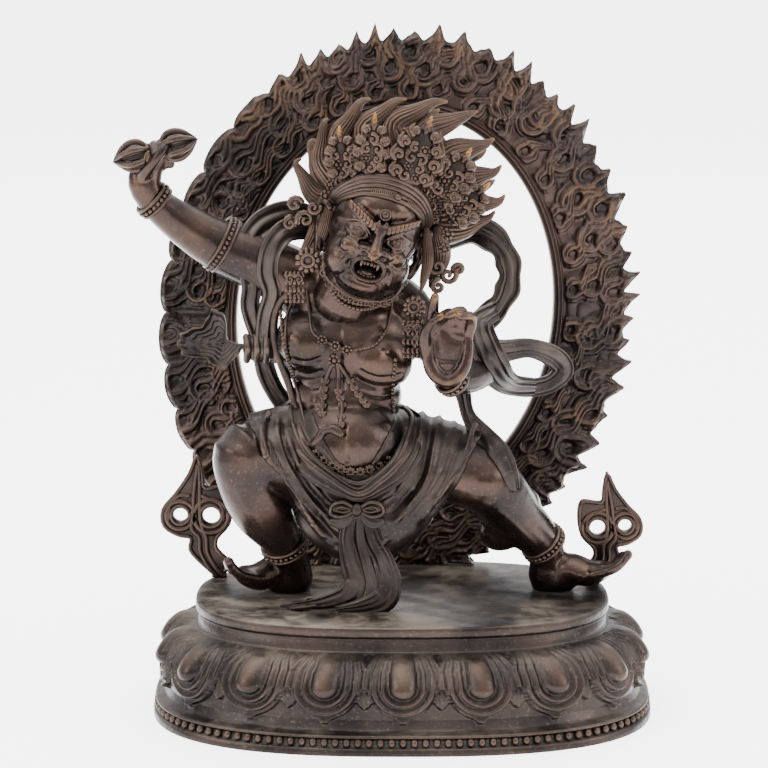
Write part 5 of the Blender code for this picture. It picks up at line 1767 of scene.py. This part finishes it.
def makeJewellery():
    bm = bmesh.new()
    # chest chain with rosettes, and its pendant with three tassels
    chain = [
        (-44.6, 148), (-43.3, 138), (-41.9, 131), (-37.3, 127.2), (-31.3, 124.4), (-25.8, 122.5),
        (-18.9, 123), (-12.4, 125.3), (-7.8, 130.5), (-5.5, 138), (-5, 143.6)
    ]
    sweep(bm, drape(chain, 0.5, 0.7), steps=1, sides=6)
    beadRow(bm, [onSkin(x, z, 0.9) for x, z in chain[3:9]], 2.1, 0.85)
    for x, z in ((-31.3, 124.4), (-25.8, 122.5), (-37.3, 127.2)):
        rosette(bm, onSkin(x, z, 1.4), 2.5, 7)
    rosette(bm, onSkin(-31.8, 117.6, 1.8), 3.0, 7)
    for line in (
        [(-31.5, 117), (-33.2, 114.3), (-35.9, 107.3), (-36.9, 100.2), (-37.4, 92.6)],
        [(-30.5, 116), (-29.9, 110), (-29.9, 103), (-28.1, 96.8), (-29, 88.8)],
        [(-30, 116), (-28.1, 113), (-24.4, 107.6), (-20.7, 101.5), (-17, 96.8)]
    ):
        sweep(bm, drape(line, 0.9, 1.1), steps=1, sides=8)
        for k, (x, z) in enumerate(smoothRows(line, 2)[4:]):
            spot = Vector(onSkin(x, z, 1.2))
            for hand in (-1, 1):
                blob(bm, spot + Vector((hand * 0.9, 0, -0.3)), (1.1, 0.9, 1.9), hand * 24, 2)
    # choker
    for drop, radius in ((0, 0.95), (2.4, 1.15)):
        choker = [
            (-33, 153 - drop), (-29.5, 148.5 - drop), (-24.4, 145.3 - drop), (-17.5, 143.8 - drop),
            (-8.7, 144.2 - drop), (-2.7, 146.8 - drop)
        ]
        beadRow(bm, [onSkin(x, z, 1.1) for x, z in choker], 2.0, radius)
    # beaded cords down both sides of the trunk
    for line in (
        [(-57.5, 141), (-55.4, 127.3), (-53.9, 120.2), (-52.3, 113.2), (-50.2, 106.1)],
        [(-3.4, 118), (-4.2, 110), (-4.8, 102), (-4.2, 92)]
    ):
        beadRow(bm, [onSkin(x, z, 0.9) for x, z in line], 2.2, 1.05)
    # belt of rosettes under the belly
    belt = smoothRows(
        [
            (-40.1, 75), (-35.5, 71.7), (-30, 68.9), (-24.4, 67), (-18.9, 67), (-13.3, 68.4),
            (-8.2, 70.8), (-3.6, 74.1)
        ],
        6
    )
    run = np.concatenate([[0], np.cumsum(np.linalg.norm(np.diff(belt, axis=0), axis=1))])
    for k in range(10):
        at = run[-1] * k / 9
        x, z = np.interp(at, run, belt[:, 0]), np.interp(at, run, belt[:, 1])
        rosette(bm, onSkin(x, z, 1.5, -38), 2.5, 8, 1.2)
    # arm, wrist and ankle rings
    for centre, along, radius, flat in (
        ((-84.5, -2, 168.5), (-14, -2, 8), 13.1, 0.98),
        ((-115.3, -9.6, 190), (-11, -4, 11), 8.6, 0.95),
        ((22.6, -37.4, 111.2), (-7, -8, 6), 7.6, 0.95),
        ((-56, -5, 24.5), (5, 8, -14), 10.6, 0.98),
        ((67.5, 3.0, 23.5), (14, 9, -17), 10.4, 0.98),
    ):
        step = Vector(along).normalized()
        ringAround(bm, Vector(centre) - step * 2.1, along, radius, 0.9, 0, flat)
        ringAround(bm, centre, along, radius + 0.2, 1.05, max(16, int(radius * 2.6)), flat)
        ringAround(bm, Vector(centre) + step * 2.1, along, radius, 0.9, 0, flat)
    # earrings: holed rosettes, tassels and curling ribbon ends
    for x, y, z, size in ((-43.7, -25, 164.4, 6.2), (5.1, -31, 143.6, 5.4)):
        blob(bm, (x, y + 1.6, z), (size * 0.85, 2, size * 0.85), 0, 3)
        rosette(bm, (x, y, z), size, 11, size * 0.45)
    for x, y, z, wide, long in ((-50, -21, 152, 4.6, 13), (4.6, -33, 130, 5.0, 16)):
        for k in range(5):
            for n in range(4):
                blob(
                    bm,
                    (
                        x + (k - 2) * wide * 0.42, y - 1.2 * math.cos((k - 2) * 0.6),
                        z + long * (0.4 - n * 0.27)
                    ),
                    (1.05, 1.0, 1.7), 0, 2
                )
            bead(bm, (x + (k - 2) * wide * 0.42, y - 1.6, z - long * 0.55), 1.0)
        curl(bm, (x - 2, y - 2, z + long * 0.25), 2.2, 1.3, 30, 0.65)
        curl(bm, (x + 2, y - 2, z + long * 0.25), 2.2, 1.3, 150, 0.65, -1)
    for centre, radius, start, spin in (
        ((-50, -15, 189), 3.6, 20, 1), ((-45, -16, 182), 4.4, 200, -1), ((-52, -14, 180), 3.0, 90, 1),
        ((-41, -18, 188), 3.2, 0, -1),
        ((16, -16, 160), 3.8, 180, 1), ((21, -15, 156), 4.2, 30, -1), ((16.5, -17, 151), 3.4, 90, 1),
        ((26, -14, 158.5), 2.8, 200, -1),
    ):
        curl(bm, centre, radius, 1.2, start, 1.45, spin)
    return finishPiece(bm, "jewellery")


def makeSnake():
    bm = bmesh.new()
    line = [
        (-50, 150), (-58.0, 141.3), (-60.2, 128.9), (-58.0, 116.6), (-53.6, 104.1), (-50.3, 93.1),
        (-47.6, 83.1), (-43.4, 78.4), (-39.2, 82.1), (-36.8, 85.6), (-32.2, 86.8), (-28.5, 84.6)
    ]
    rows = drape(line, 0.9, 1.9, 1.6)
    count = len(rows)
    rows = [
        (x, y, z, w * (1.3 if count - 9 < k < count - 3 else 1), t) for k,
        (x, y, z, w, t) in enumerate(rows)
    ]
    sweep(bm, rows, steps=1, sides=12)
    second = [
        (-47.3, 150), (-53.4, 138.3), (-54.4, 125.7), (-52.6, 111.6), (-49, 99.8), (-45.8, 88),
        (-43, 80.9)
    ]
    sweep(bm, drape(second, 0.5, 0.75), steps=1, sides=8)
    return finishPiece(bm, "snake")


sceptre = makeSceptre()
jewellery = makeJewellery()
snake = makeSnake()
for piece in (sceptre, jewellery, snake):
    piece.data.materials.append(finishes["ornament"])
print("sceptre, jewellery and snake made")


# floor, light and camera
studio = {
    "horizon": 0.7, "zenith": 4.6, "floorGlow": 2.4, "floorSize": 12,
    # the camera's place, its tilt in degrees, and its lens: sensor width and focal length in shares of it
    "eye": (-0.0087, -1.415, 0.430), "tilt": -10.93, "sensor": 36, "focal": 3050 / 768,
}


def buildStudio():
    mesh = bpy.data.meshes.new("floor")
    bm = bmesh.new()
    bmesh.ops.create_grid(bm, x_segments=1, y_segments=1, size=studio["floorSize"])
    bm.to_mesh(mesh)
    bm.free()
    floor = bpy.data.objects.new("floor", mesh)
    bpy.context.scene.collection.objects.link(floor)
    material = bpy.data.materials.new("paleFloor")
    material.use_nodes = True
    shader = material.node_tree.nodes["Principled BSDF"]
    shader.inputs["Base Color"].default_value = (0.90, 0.91, 0.92, 1)
    shader.inputs["Roughness"].default_value = 0.7
    shader.inputs["Emission Color"].default_value = (0.99, 0.99, 1.0, 1)
    shader.inputs["Emission Strength"].default_value = studio["floorGlow"]
    floor.data.materials.append(material)
    world = bpy.data.worlds.new("studio")
    bpy.context.scene.world = world
    world.use_nodes = True
    nodes, links = world.node_tree.nodes, world.node_tree.links
    sky = nodes["Background"]
    sky.inputs["Color"].default_value = (0.98, 0.985, 1.0, 1)
    coords, split = nodes.new("ShaderNodeTexCoord"), nodes.new("ShaderNodeSeparateXYZ")
    rise = nodes.new("ShaderNodeMapRange")
    rise.inputs["To Min"].default_value = studio["horizon"]
    rise.inputs["To Max"].default_value = studio["zenith"]
    links.new(coords.outputs["Generated"], split.inputs[0])
    links.new(split.outputs["Z"], rise.inputs["Value"])
    links.new(rise.outputs["Result"], sky.inputs["Strength"])
    for name, place, size, power in (
        ("topLight", (-0.3, -0.2, 1.6), 1.3, 22),
        ("leftLight", (-1.5, -0.9, 0.9), 0.9, 21),
        ("rightLight", (1.6, -0.6, 0.8), 0.9, 20),
        ("backLight", (0.2, 1.6, 1.3), 1.4, 18),
    ):
        light = bpy.data.lights.new(name, "AREA")
        light.size = size
        light.energy = power
        lamp = bpy.data.objects.new(name, light)
        lamp.location = place
        lamp.rotation_euler = (Vector((0, 0, 0.15)) - Vector(place)).to_track_quat("-Z", "Y").to_euler()
        bpy.context.scene.collection.objects.link(lamp)
    camera = bpy.data.cameras.new("camera")
    camera.sensor_width = studio["sensor"]
    camera.lens = studio["sensor"] * studio["focal"]
    camera.clip_start = 0.01
    view = bpy.data.objects.new("camera", camera)
    view.location = studio["eye"]
    view.rotation_euler = (math.radians(90 + studio["tilt"]), 0, 0)
    bpy.context.scene.collection.objects.link(view)
    bpy.context.scene.camera = view


buildStudio()
print("studio made")
